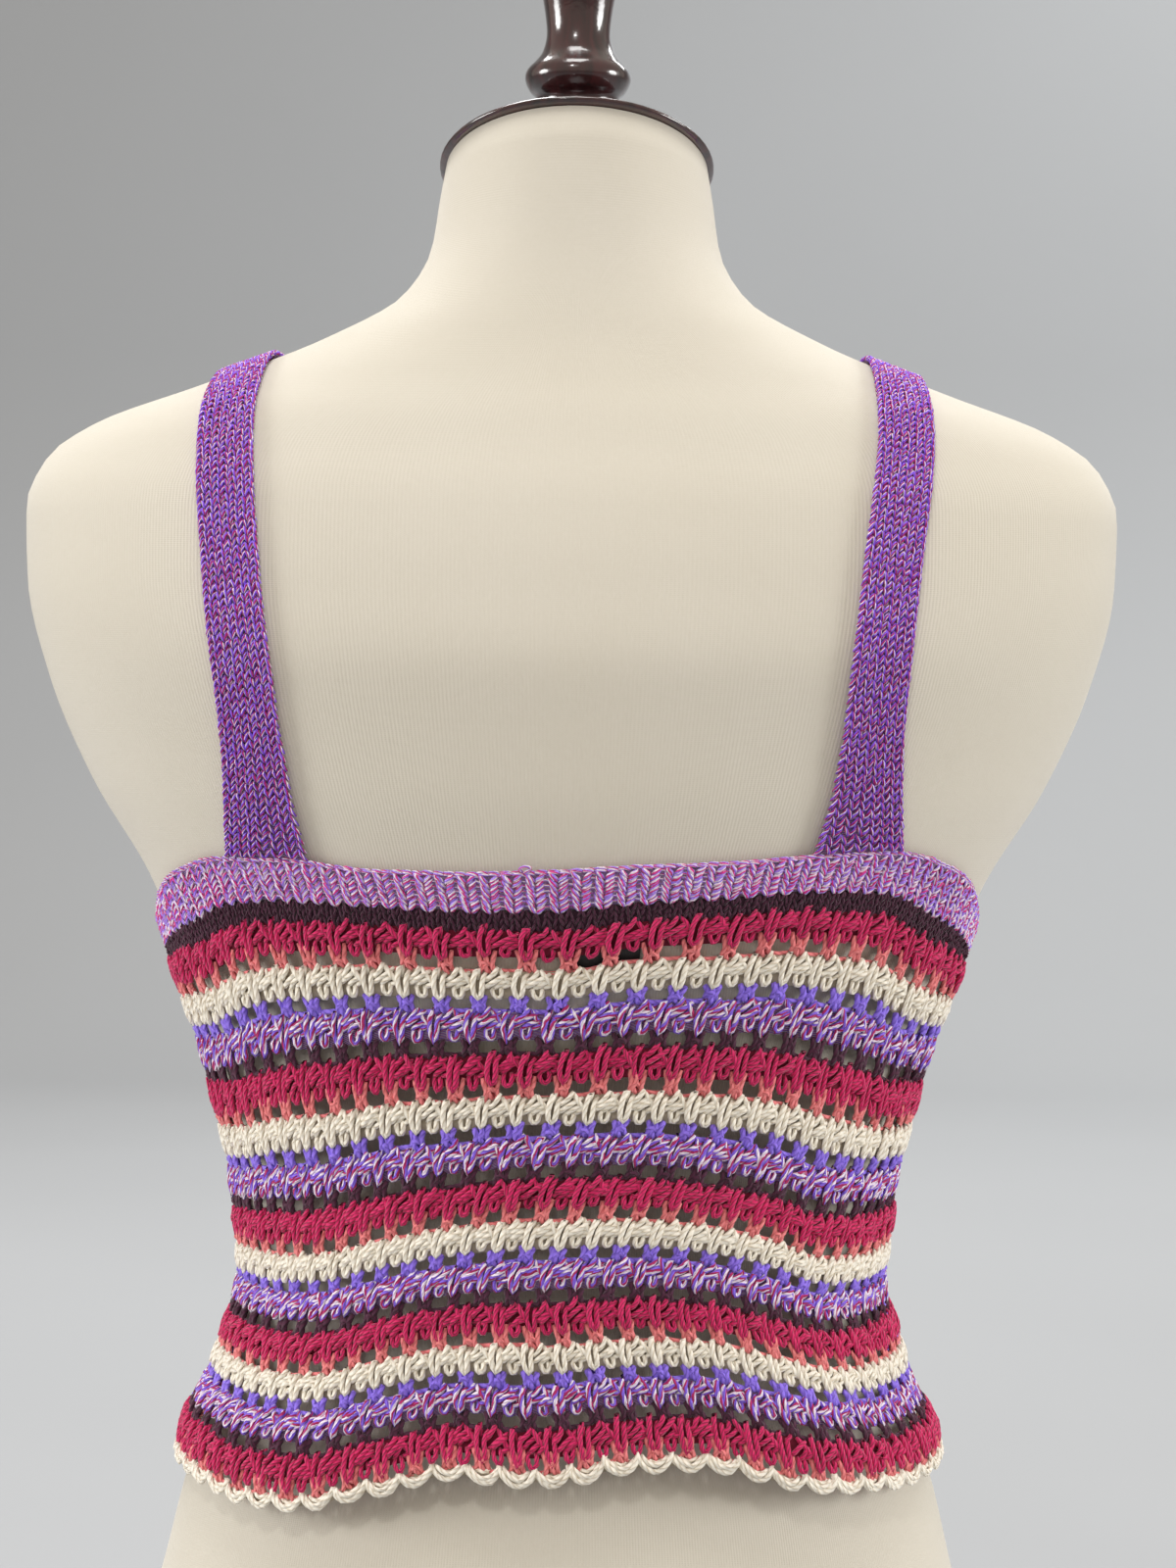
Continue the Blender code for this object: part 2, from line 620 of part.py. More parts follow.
def build_label(satin):
    """A small blank label that hangs from the band, between the back and the form."""
    columns = LABEL_COLUMNS
    rows = LABEL_ROWS
    angle_middle = math.pi / 2 - LABEL_MIDDLE / BACK_RADIUS
    half = LABEL_WIDTH / 2 / BACK_RADIUS
    angle = np.linspace(angle_middle - half, angle_middle + half, columns)
    sides = []
    for out in (LABEL_OFF_FORM, LABEL_OFF_FORM + LABEL_WALL):
        for k in range(rows):
            down = LABEL_TOP + LABEL_HEIGHT * k / (rows - 1)
            height = cloth_height(np.full(columns, down), angle)
            radius = form_radius(height, angle) + out
            sides.append(np.stack([radius * np.cos(angle), form_centre(height)
                                   + radius * np.sin(angle), height], axis=1))
    points = np.concatenate(sides)
    faces = []
    outer = rows * columns
    for i in range(rows - 1):
        for k in range(columns - 1):
            corner = i * columns + k
            square = (corner, corner + 1, corner + columns + 1, corner + columns)
            faces.append(square)
            faces.append(tuple(c + outer for c in square))
    border = (list(range(columns)) + [i * columns + columns - 1 for i in range(1, rows)]
              + list(range(outer - 2, outer - columns - 1, -1))
              + [i * columns for i in range(rows - 2, 0, -1)])
    for here, after in zip(border, border[1:] + border[:1]):
        faces.append((here, after, after + outer, here + outer))
    return solid("label_back", points, faces, satin)


def form_points(level, count):
    """One ring of the form, which tilts to the neck's top above TILT_FROM."""
    step = np.arange(count) * 2 * math.pi / count
    width = float(read_table(FORM_SECTIONS, "height", "half_width", level))
    depth = float(read_table(FORM_SECTIONS, "height", "back", level))
    angle = np.arctan2(depth * np.sin(step), width * np.cos(step))
    radius = form_radius(np.full(count, level), angle)
    blend = min(max((level - TILT_FROM) / (NECK_TOP - TILT_FROM), 0.0), 1.0)
    away = radius * np.sin(angle)
    height = level + NECK_TILT * away * blend ** 2
    return np.stack([radius * np.cos(angle), form_centre(level) + away, height], axis=1)


def form_levels():
    """Heights of the form's rings, evenly spaced along its side."""
    level = np.linspace(FORM_SECTIONS[0].height, NECK_TOP, 400)
    width = read_table(FORM_SECTIONS, "height", "half_width", level)
    along = np.concatenate([[0.0], np.cumsum(np.hypot(np.diff(level), np.diff(width)))])
    return np.interp(np.linspace(0.0, along[-1], FORM_RINGS), along, level)


def build_form(jersey):
    """The smooth torso, closed flat below and along the slope of the neck's top."""
    rings = [form_points(level, FORM_COLUMNS) for level in form_levels()]
    points = np.concatenate(rings)
    faces = []
    for i in range(len(rings) - 1):
        for k in range(FORM_COLUMNS):
            n = (k + 1) % FORM_COLUMNS
            faces.append((i * FORM_COLUMNS + k, i * FORM_COLUMNS + n,
                          (i + 1) * FORM_COLUMNS + n, (i + 1) * FORM_COLUMNS + k))
    last = (len(rings) - 1) * FORM_COLUMNS
    faces.append(tuple(range(FORM_COLUMNS)))
    faces.append(tuple(range(last, last + FORM_COLUMNS)))
    return solid("form_body", points, faces, jersey)


def build_board(wood):
    """The base board, an oval plate with rounded edges."""
    foot = FORM_SECTIONS[0]
    work = bmesh.new()
    bmesh.ops.create_cone(work, cap_ends=True, segments=32, radius1=1.0, radius2=1.0,
                          depth=BOARD_THICKNESS)
    depth = (foot.back + foot.front) / 2 - BOARD_MARGIN
    bmesh.ops.transform(work, verts=work.verts, matrix=Matrix.Diagonal(
        (foot.half_width - BOARD_MARGIN, depth, 1.0, 1.0)))
    bmesh.ops.translate(work, verts=work.verts,
                        vec=(0.0, MIDDLE_SHIFT + (foot.back - foot.front) / 2,
                             BOARD_THICKNESS / 2))
    mesh = bpy.data.meshes.new("base_board")
    work.to_mesh(mesh)
    work.free()
    board = finished("base_board", mesh, wood)
    rounding = board.modifiers.new("rounded edges", "BEVEL")
    rounding.width = BOARD_ROUNDING
    rounding.segments = 2
    rounding.limit_method = "ANGLE"
    rounding.angle_limit = math.radians(50)
    return board


def turned(name, profile, steps, material):
    """A turned solid from a profile of heights and radii, from the top down."""
    mesh = bpy.data.meshes.new(name)
    points = [(radius, 0.0, height) for height, radius in profile]
    mesh.from_pydata(points, [(i, i + 1) for i in range(len(points) - 1)], [])
    piece = finished(name, mesh, material)
    screw = piece.modifiers.new("turning", "SCREW")
    screw.steps = steps
    screw.render_steps = steps
    screw.use_merge_vertices = True
    screw.merge_threshold = 0.00002
    screw.use_smooth_shade = True
    return piece


def neck_centre():
    """Middle of the neck's sloping top."""
    return (0.0, float(form_centre(NECK_TOP)), NECK_TOP)


def build_neck(wood):
    """The neck cap on the sloping top of the neck, and the upright finial on the cap."""
    slope = math.atan(NECK_TILT)
    rounding = CAP_EDGE_ROUNDING
    profile = [(SEAM + CAP_DOME, 0.0), (SEAM + CAP_DOME * 0.9, CAP_RADIUS * 0.55),
               (SEAM + CAP_RIM, CAP_RADIUS - 2 * rounding),
               (SEAM + CAP_RIM * 0.7, CAP_RADIUS), (SEAM + CAP_RIM * 0.3, CAP_RADIUS),
               (SEAM, CAP_RADIUS - rounding), (SEAM, 0.0)]
    cap = turned("neck_cap", profile, CAP_STEPS, wood)
    cap.location = neck_centre()
    cap.rotation_euler = (slope, 0.0, 0.0)

    finial = turned("finial", FINIAL_PROFILE, FINIAL_STEPS, wood)
    finial.location = neck_centre()
    work = bmesh.new()
    bmesh.ops.create_cube(work, size=SEAT_CUTTER)
    mesh = bpy.data.meshes.new("finial_seat")
    bmesh.ops.translate(work, verts=work.verts,
                        vec=(0.0, 0.0, CAP_DOME + 2 * SEAM - SEAT_CUTTER / 2))
    work.to_mesh(mesh)
    work.free()
    seat = bpy.data.objects.new("finial_seat", mesh)
    bpy.data.collections["cutters"].objects.link(seat)
    seat.location = neck_centre()
    seat.rotation_euler = (slope, 0.0, 0.0)
    seat.hide_render = True
    seat.display_type = "WIRE"
    cut = finial.modifiers.new("seat on the cap", "BOOLEAN")
    cut.operation = "DIFFERENCE"
    cut.object = seat
    cut.solver = "EXACT"


def finish_material(name, colour, roughness):
    """A plain principled material."""
    material = bpy.data.materials.new(name)
    material.use_nodes = True
    shader = material.node_tree.nodes["Principled BSDF"]
    shader.inputs["Base Color"].default_value = (*colour, 1.0)
    shader.inputs["Roughness"].default_value = roughness
    shader.inputs["Metallic"].default_value = 0.0
    return material


def clear_scene():
    """Removes what is in the scene and makes the collections."""
    for item in list(bpy.data.objects):
        bpy.data.objects.remove(item, do_unlink=True)
    for name in (OBJECT_NAME, "cutters"):
        collection = bpy.data.collections.new(name)
        bpy.context.scene.collection.children.link(collection)


def main():
    """Builds the crop top and its dress form."""
    clear_scene()
    cloth = finish_material("striped knit", (0.42, 0.10, 0.22), 0.9)
    marl = finish_material("marl knit", (0.32, 0.17, 0.50), 0.9)
    satin = finish_material("black satin", (0.01, 0.01, 0.012), 0.5)
    jersey = finish_material("ivory jersey", (0.76, 0.70, 0.58), 0.95)
    wood = finish_material("dark polished wood", (0.05, 0.012, 0.014), 0.2)
    build_panels(cloth)
    build_bands(marl)
    build_strap("strap_left", 1.0, LEFT_STRAP, marl)
    build_strap("strap_right", -1.0, RIGHT_STRAP, marl)
    build_label(satin)
    build_form(jersey)
    build_board(wood)
    build_neck(wood)


main()
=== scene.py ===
"""Dresses the crop top and its dress form: knitted yarns, jersey, wood, light and camera.

Every stitch is a swept yarn that lies on the hanging cloth.  The cloth is a surface of two
parameters: the distance down from the top edge of the band, and the place round the body
counted in openwork repeats.  Metres, Z up, the back of the top faces +Y.
"""

import logging
import math
from dataclasses import dataclass, field
from enum import Enum
from typing import Protocol, Sequence

import bpy
import numpy as np
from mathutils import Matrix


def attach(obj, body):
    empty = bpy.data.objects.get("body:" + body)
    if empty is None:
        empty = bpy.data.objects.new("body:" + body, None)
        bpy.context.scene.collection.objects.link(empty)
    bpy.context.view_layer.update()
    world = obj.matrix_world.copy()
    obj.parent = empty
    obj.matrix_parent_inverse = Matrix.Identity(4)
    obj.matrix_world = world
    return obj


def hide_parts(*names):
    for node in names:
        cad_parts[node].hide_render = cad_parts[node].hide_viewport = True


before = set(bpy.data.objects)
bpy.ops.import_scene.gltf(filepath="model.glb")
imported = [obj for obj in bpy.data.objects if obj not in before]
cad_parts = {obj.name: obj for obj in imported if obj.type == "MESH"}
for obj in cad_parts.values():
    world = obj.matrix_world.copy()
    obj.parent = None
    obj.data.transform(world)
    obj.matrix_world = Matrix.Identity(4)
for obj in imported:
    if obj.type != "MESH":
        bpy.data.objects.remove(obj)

Array = np.ndarray
Triple = tuple[float, float, float]
Stops = tuple[tuple[float, Triple], ...]
LOG = logging.getLogger("crop_top")
TAU = 2 * math.pi
SEED = 20
# Name of every piece's own map, and the millimetres in a metre
MAP_NAME = "yarn"
MILLI = 1000


class Tone(Enum):
    """Yarns of the top, each named by its colour."""

    CRIMSON = "crimson"
    CORAL = "coral"
    CREAM = "cream"
    VIOLET = "violet"
    MARL = "marl"
    PLUM = "plum"


def smooth_slopes(knots: Array, values: Array) -> Array:
    """Slopes of a curve through the values that never overshoots them.

    The slope at an inner knot is the harmonic mean of the rises on its two sides, or zero
    where they differ in sign.

    Args:
        knots: places of the knots, rising.
        values: one column of values for each curve.

    Returns:
        The slopes, in the shape of the values.
    """
    rise = np.diff(values, axis=0) / np.diff(knots)[:, None]
    slopes = np.concatenate([rise[:1], rise])
    same = rise[:-1] * rise[1:] > 0
    total = np.where(same, rise[:-1] + rise[1:], 1.0)
    slopes[1:-1] = np.where(same, 2 * rise[:-1] * rise[1:] / total, 0.0)
    return slopes


def smooth_read(knots: Array, values: Array, at: Array, column: Array | int = 0) -> Array:
    """Reads the smooth curve through the values, by the cubic that meets their slopes.

    Args:
        knots: places of the knots, rising.
        values: one column of values for each curve.
        at: places to read.
        column: the column that is read at each place.

    Returns:
        One value for each place.
    """
    slopes = smooth_slopes(knots, values)
    index = np.clip(np.searchsorted(knots, at, side="right") - 1, 0, len(knots) - 2)
    step = knots[index + 1] - knots[index]
    t = (at - knots[index]) / step
    return ((2 * t ** 3 - 3 * t ** 2 + 1) * values[index, column]
            + (t ** 3 - 2 * t ** 2 + t) * slopes[index, column] * step
            + (3 * t ** 2 - 2 * t ** 3) * values[index + 1, column]
            + (t ** 3 - t ** 2) * slopes[index + 1, column] * step)


@dataclass(frozen=True)
class Figure:
    """The dress form's outline, the same as its solid's.

    Each row of `sections` is a height, the half width, the depths behind and before the
    section's centre, the centre's place from front to back, and the squareness.
    """

    middle_shift: float = 0.0083
    bust_height: float = 0.398
    bust_fullness: float = 0.022
    bust_angle: float = 32.0
    bust_spread: float = 22.0
    bust_above: float = 0.052
    bust_below: float = 0.036
    neck_tilt: float = 0.37
    tilt_from: float = 0.622
    neck_top: float = 0.660
    sections: tuple[tuple[float, ...], ...] = (
        (0.0153, 0.1540, 0.0980, 0.0880, 0.000, 2.15),
        (0.0650, 0.1585, 0.1040, 0.0920, 0.000, 2.15),
        (0.1150, 0.1530, 0.1030, 0.0930, 0.000, 2.15),
        (0.1650, 0.1390, 0.0930, 0.0880, 0.000, 2.12),
        (0.2029, 0.1295, 0.0810, 0.0820, 0.000, 2.10),
        (0.2340, 0.1160, 0.0710, 0.0770, 0.000, 2.10),
        (0.2680, 0.1085, 0.0660, 0.0750, 0.000, 2.10),
        (0.3030, 0.1115, 0.0690, 0.0790, 0.000, 2.10),
        (0.3375, 0.1200, 0.0780, 0.0880, 0.000, 2.10),
        (0.3720, 0.1325, 0.0870, 0.0980, 0.000, 2.12),
        (0.4065, 0.1460, 0.0940, 0.1040, 0.000, 2.15),
        (0.4410, 0.1670, 0.0980, 0.0990, 0.000, 2.20),
        (0.4755, 0.1820, 0.0980, 0.0900, 0.000, 2.30),
        (0.5100, 0.1905, 0.0900, 0.0780, 0.000, 2.35),
        (0.5360, 0.1915, 0.0800, 0.0680, 0.000, 2.35),
        (0.5530, 0.1850, 0.0720, 0.0600, -0.002, 2.30),
        (0.5650, 0.1690, 0.0660, 0.0550, -0.003, 2.25),
        (0.5790, 0.1330, 0.0590, 0.0510, -0.005, 2.20),
        (0.5962, 0.0900, 0.0530, 0.0480, -0.008, 2.15),
        (0.6135, 0.0610, 0.0500, 0.0480, -0.012, 2.10),
        (0.6307, 0.0515, 0.0480, 0.0460, -0.016, 2.05),
        (0.6480, 0.0490, 0.0460, 0.0440, -0.020, 2.00),
        (0.6600, 0.0470, 0.0440, 0.0440, -0.023, 2.00),
    )

    def column(self, index: int, height: Array) -> Array:
        """Reads one column of the sections.

        Args:
            index: of the column.
            height: heights of any shape.

        Returns:
            The values, in the same shape.
        """
        rows = np.array(self.sections)
        flat = np.clip(np.ravel(height), rows[0, 0], rows[-1, 0])
        return smooth_read(rows[:, 0], rows[:, index:index + 1], flat).reshape(np.shape(height))

    def centre(self, height: Array) -> Array:
        """Place of a section's centre from front to back."""
        return self.middle_shift + self.column(4, height)

    def radius(self, height: Array, angle: Array) -> Array:
        """Distance from a section's centre to the form.

        It is a squared oval whose depth differs behind and before, and the fullness of the
        bust is added as two soft mounds that fall off with angle and height.

        Args:
            height: heights, in the shape of the angles.
            angle: angles from +X over the back.

        Returns:
            The distances.
        """
        oval = squared_oval(self.column(1, height), self.column(2, height),
                            self.column(3, height), self.column(5, height), angle)
        reach = np.where(height > self.bust_height, self.bust_above, self.bust_below)
        level = np.exp(-((height - self.bust_height) / reach) ** 2)
        turned = np.degrees(np.mod(angle, TAU)) - 270.0
        sides = (np.exp(-((turned - self.bust_angle) / self.bust_spread) ** 2)
                 + np.exp(-((turned + self.bust_angle) / self.bust_spread) ** 2))
        return oval + self.bust_fullness * level * sides


def squared_oval(half_width: Array, back: Array, front: Array, squareness: Array | float,
                 angle: Array) -> Array:
    """Distance from the middle to a squared oval that is deeper on one side.

    It is one over the root of the summed powers of cosine over width and sine over depth.

    Args:
        half_width: half the width.
        back: depth behind.
        front: depth before.
        squareness: the power, where 2 is a plain oval.
        angle: angles from +X over the back.

    Returns:
        The distances.
    """
    depth = np.where(np.sin(angle) >= 0, back, front)
    return ((np.abs(np.cos(angle)) / half_width) ** squareness
            + (np.abs(np.sin(angle)) / depth) ** squareness) ** (-1 / squareness)


@dataclass(frozen=True)
class Knit:
    """Sizes of the knitted cloth, in metres, and how its rows follow each other."""

    repeats: int = 32
    ribs_per_repeat: int = 2
    seam: float = 0.0003
    band: float = 0.0150
    first_plum: float = 0.0070
    crimson: float = 0.0093
    coral: float = 0.0050
    cream: float = 0.0093
    violet: float = 0.0045
    marl: float = 0.0096
    plum: float = 0.0048
    stripes: int = 4
    hem: float = 0.0050
    wall: float = 0.0016
    raised: float = 0.0014

    def row_knots(self) -> Array:
        """Distances down of the rows whose heights the drape gives.

        Returns:
            The band's top, the first and the third crimson row, and the hem.
        """
        first = self.band + self.seam + self.first_plum
        stripe = self.crimson + self.coral + self.cream + self.violet + self.marl + self.plum
        hem = first + self.stripes * stripe + self.crimson + self.coral + self.hem
        return np.array([0.0, first, first + 2 * stripe, hem])

    def rows(self) -> list[tuple[Tone, float, float, float]]:
        """Rows under the first plum row.

        Returns:
            The tone, the top, the height and the shift in repeats of each row.
        """
        shifts = {Tone.CRIMSON: 0.0, Tone.CORAL: 0.0, Tone.CREAM: -0.25, Tone.VIOLET: -0.25,
                  Tone.MARL: -0.5, Tone.PLUM: -0.5}
        order = [Tone.CRIMSON, Tone.CORAL, Tone.CREAM, Tone.VIOLET, Tone.MARL, Tone.PLUM]
        found = []
        down = self.band + self.seam + self.first_plum
        for tone in order * self.stripes + order[:2]:
            found.append((tone, down, getattr(self, tone.value), shifts[tone]))
            down += getattr(self, tone.value)
        return found


@dataclass(frozen=True)
class Drape:
    """How the cloth hangs: its sections, the heights of its rows and its soft folds."""

    clearance: float = 0.0014
    squareness: float = 2.15
    smoothing: float = 0.0015
    stretch: float = 0.36
    seam_drift: float = 9.0
    seam_drift_down: float = 0.145
    seam_drift_reach: float = 0.040
    # Height, half width, depth behind and depth before
    sections: tuple[tuple[float, ...], ...] = (
        (0.1980, 0.1360, 0.0940, 0.1050),
        (0.2167, 0.1330, 0.0930, 0.1035),
        (0.2340, 0.1235, 0.0910, 0.1020),
        (0.2512, 0.1185, 0.0900, 0.1020),
        (0.2685, 0.1130, 0.0890, 0.1025),
        (0.2857, 0.1150, 0.0885, 0.1040),
        (0.3030, 0.1165, 0.0885, 0.1065),
        (0.3202, 0.1210, 0.0890, 0.1095),
        (0.3375, 0.1250, 0.0900, 0.1130),
        (0.3547, 0.1290, 0.0910, 0.1160),
        (0.3720, 0.1365, 0.0920, 0.1190),
        (0.3892, 0.1415, 0.0935, 0.1200),
        (0.4250, 0.1500, 0.0950, 0.1170),
        (0.4500, 0.1600, 0.0950, 0.1080),
    )
    # Angle, then the heights of the band's top, two crimson rows and the hem
    stations: tuple[tuple[float, ...], ...] = (
        (0, 0.3910, 0.3775, 0.2915, 0.2055),
        (20, 0.4095, 0.3850, 0.2935, 0.2015),
        (30, 0.4150, 0.3925, 0.2950, 0.1985),
        (40, 0.4150, 0.3945, 0.2975, 0.1985),
        (54, 0.4120, 0.3942, 0.3040, 0.2055),
        (70, 0.4115, 0.3930, 0.3085, 0.2118),
        (86, 0.4125, 0.3930, 0.3110, 0.2105),
        (104, 0.4145, 0.3965, 0.3117, 0.2148),
        (120, 0.4160, 0.3985, 0.3095, 0.2155),
        (134, 0.4185, 0.4005, 0.3045, 0.2090),
        (146, 0.4200, 0.3995, 0.2970, 0.2055),
        (158, 0.4140, 0.3900, 0.2955, 0.2045),
        (180, 0.3930, 0.3795, 0.2955, 0.2075),
        (200, 0.4120, 0.3890, 0.3010, 0.2110),
        (222, 0.4390, 0.4180, 0.3140, 0.2150),
        (246, 0.4370, 0.4165, 0.3260, 0.2235),
        (270, 0.4340, 0.4135, 0.3285, 0.2255),
        (294, 0.4370, 0.4165, 0.3260, 0.2235),
        (318, 0.4390, 0.4180, 0.3140, 0.2150),
        (340, 0.4110, 0.3880, 0.3000, 0.2095),
    )
    # Angle and half width in degrees, depth, and the fold's middle and reach down the cloth
    folds: tuple[tuple[float, ...], ...] = (
        (40, 14, 0.0040, 0.200, 0.045),
        (66, 9, -0.0020, 0.190, 0.040),
        (112, 12, -0.0025, 0.195, 0.045),
        (140, 12, 0.0040, 0.195, 0.040),
        (222, 13, 0.0040, 0.190, 0.050),
        (250, 10, -0.0020, 0.185, 0.050),
        (285, 11, 0.0025, 0.195, 0.045),
        (322, 13, 0.0040, 0.195, 0.050),
    )


class Surface(Protocol):
    """Anything that yarn can lie on."""

    def at(self, place: Array, down: Array, out: Array) -> tuple[Array, Array]:
        """Points and outward normals at places across, distances down and out."""


def read_grid(points: Array, normals: Array, across: Array, level: Array,
              out: Array) -> tuple[Array, Array]:
    """Reads a grid of points and normals between its corners.

    Each value is the mean of the four corners round it, weighted by nearness, and the
    point is then moved out along the normal.

    Args:
        points: rows by columns by three.
        normals: outward normals, in the same shape.
        across: places counted in columns, any shape.
        level: places counted in rows, in the same shape.
        out: distances out, in the same shape.

    Returns:
        The points and the outward normals, each with a last axis of three.
    """
    k = np.clip(across.astype(int), 0, points.shape[1] - 2)
    m = np.clip(level.astype(int), 0, points.shape[0] - 2)
    s, t = (across - k)[..., None], (level - m)[..., None]
    found = [(1 - t) * ((1 - s) * grid[m, k] + s * grid[m, k + 1])
             + t * ((1 - s) * grid[m + 1, k] + s * grid[m + 1, k + 1])
             for grid in (points, normals)]
    return found[0] + found[1] * out[..., None], found[1]


@dataclass
class Cloth:
    """The hanging cloth as a dense grid of points and outward normals."""

    figure: Figure
    knit: Knit
    drape: Drape
    first_down: float = -0.004
    last_down: float = 0.222
    rows: int = 152
    per_repeat: int = 8
    points: Array = field(init=False)
    normals: Array = field(init=False)

    def __post_init__(self) -> None:
        """Works out the grid, and its normals as the cross product of its two slopes."""
        places = np.arange(2 * self.knit.repeats * self.per_repeat + 1) / self.per_repeat
        downs = np.linspace(self.first_down, self.last_down, self.rows)
        self.points = np.stack([self.row_points(down, places) for down in downs])
        around = np.gradient(self.points, axis=1)
        edge = self.points[:, 1] - self.points[:, -2]
        around[:, 0] = around[:, -1] = edge / 2
        downward = np.gradient(self.points, axis=0)
        normals = np.cross(downward, around)
        self.normals = normals / np.linalg.norm(normals, axis=2, keepdims=True)

    def height(self, down: Array, angle: Array) -> Array:
        """Height of the cloth: smooth curves round it through four rows, read down it.

        Args:
            down: distances down from the top edge, in the shape of the angles.
            angle: angles from +X over the back.

        Returns:
            The heights.
        """
        rows = np.array(self.drape.stations)
        knots = np.radians(np.concatenate([rows[-3:, 0] - 360, rows[:, 0], rows[:3, 0] + 360]))
        closed = np.concatenate([rows[-3:], rows, rows[:3]])[:, 1:]
        turned = np.mod(angle, TAU)
        levels = np.stack([smooth_read(knots, closed, turned, k) for k in range(4)])
        return smooth_read(self.knit.row_knots(), levels, down, np.arange(angle.size))

    def radius(self, height: Array, angle: Array, down: Array) -> Array:
        """Distance from the middle to the inside of the cloth.

        It is the softened greater one of the hanging shape with its folds and the form
        with its clearance.

        Args:
            height: heights, in the shape of the angles.
            angle: angles from +X over the back.
            down: distances down, in the same shape.

        Returns:
            The distances.
        """
        rows = np.array(self.drape.sections)
        flat = np.clip(height, rows[0, 0], rows[-1, 0])
        parts = [smooth_read(rows[:, 0], rows[:, k:k + 1], flat) for k in (1, 2, 3)]
        hanging = squared_oval(*parts, self.drape.squareness, angle)
        hanging = hanging - self.knit.wall - self.knit.raised
        for middle, spread, depth, level, reach in self.drape.folds:
            turn = (np.degrees(angle) - middle) / spread
            hanging = hanging + depth * np.exp(-turn ** 2 - ((down - level) / reach) ** 2)
        worn = self.figure.radius(height, angle) + self.drape.clearance
        soft = self.drape.smoothing
        return soft * np.logaddexp(hanging / soft, worn / soft)

    def raw_points(self, down: Array, angle: Array, out: float) -> Array:
        """Points of the cloth, by angle and not by repeat.

        Args:
            down: distances down, one or one for each angle.
            angle: angles from +X over the back.
            out: distance out from the inside of the cloth.

        Returns:
            A point for each angle.
        """
        down = np.broadcast_to(down, angle.shape).astype(float)
        height = self.height(down, angle)
        radius = self.radius(height, angle, down) + out
        centre = self.figure.centre(height)
        return np.stack([radius * np.cos(angle), centre + radius * np.sin(angle), height], axis=1)

    def row_points(self, down: float, places: Array) -> Array:
        """Points along one row at places counted in repeats.

        A repeat takes the same length of cloth all along the row, but is pulled wider over
        the shoulder blades.

        Args:
            down: distance down of the row.
            places: places round the body in repeats.

        Returns:
            A point for each place.
        """
        angle = np.linspace(0.0, TAU, 721)
        along = self.raw_points(down, angle, self.knit.wall)
        length = np.linalg.norm(np.diff(along, axis=0), axis=1)
        middle = (angle[1:] + angle[:-1]) / 2
        pull = self.drape.stretch * (1 - down / self.knit.row_knots()[-1]) * np.sin(middle) ** 4
        total = np.concatenate([[0.0], np.cumsum(length / (1 + pull))])
        away = (down - self.drape.seam_drift_down) / self.drape.seam_drift_reach
        drift = math.radians(self.drape.seam_drift) * math.exp(-away ** 2)
        seam = np.interp(math.pi - drift, angle, total)
        count = self.knit.repeats
        share = np.where(total <= seam, count * total / seam,
                         count + count * (total - seam) / (total[-1] - seam))
        return self.raw_points(down, np.interp(places, share, angle), 0.0)

    def at(self, place: Array, down: Array, out: Array) -> tuple[Array, Array]:
        """Reads the grid between its points.

        Args:
            place: places round the body in repeats, any shape.
            down: distances down, in the same shape.
            out: distances out from the inside of the cloth, in the same shape.

        Returns:
            The points and the outward normals, each with a last axis of three.
        """
        across = np.mod(place * self.per_repeat, 2 * self.knit.repeats * self.per_repeat)
        level = (down - self.first_down) / (self.last_down - self.first_down) * (self.rows - 1)
        return read_grid(self.points, self.normals, across, level, out)


@dataclass(frozen=True)
class Strand:
    """One yarn path of a stitch.

    `path` holds its points: across, down and out, in the units of the stitch.  `radius` is
    the yarn's in metres, `count` the number of points that the swept yarn gets, and
    `wander` how far each point strays at random in the same units.
    """

    path: tuple[Triple, ...]
    radius: float
    count: int = 8
    wander: float = 1.0


def smoothing_weights(points: int, count: int) -> Array:
    """Weights of a smooth curve through points that are evenly spaced in its parameter.

    Each sample is the cubic through four neighbouring points whose slopes are half the
    difference of their neighbours.

    Args:
        points: how many points the curve runs through.
        count: how many samples it gets.

    Returns:
        A row of weights for each sample, with a column for each point.
    """
    places = np.linspace(0, points - 1, count)
    index = np.minimum(places.astype(int), points - 2)
    t = places - index
    weights = np.zeros((count, points))
    basis = (-0.5 * t + t ** 2 - 0.5 * t ** 3, 1 - 2.5 * t ** 2 + 1.5 * t ** 3,
             0.5 * t + 2 * t ** 2 - 1.5 * t ** 3, -0.5 * t ** 2 + 0.5 * t ** 3)
    for step, part in zip((-1, 0, 1, 2), basis):
        np.add.at(weights, (np.arange(count), np.clip(index + step, 0, points - 1)), part)
    return weights


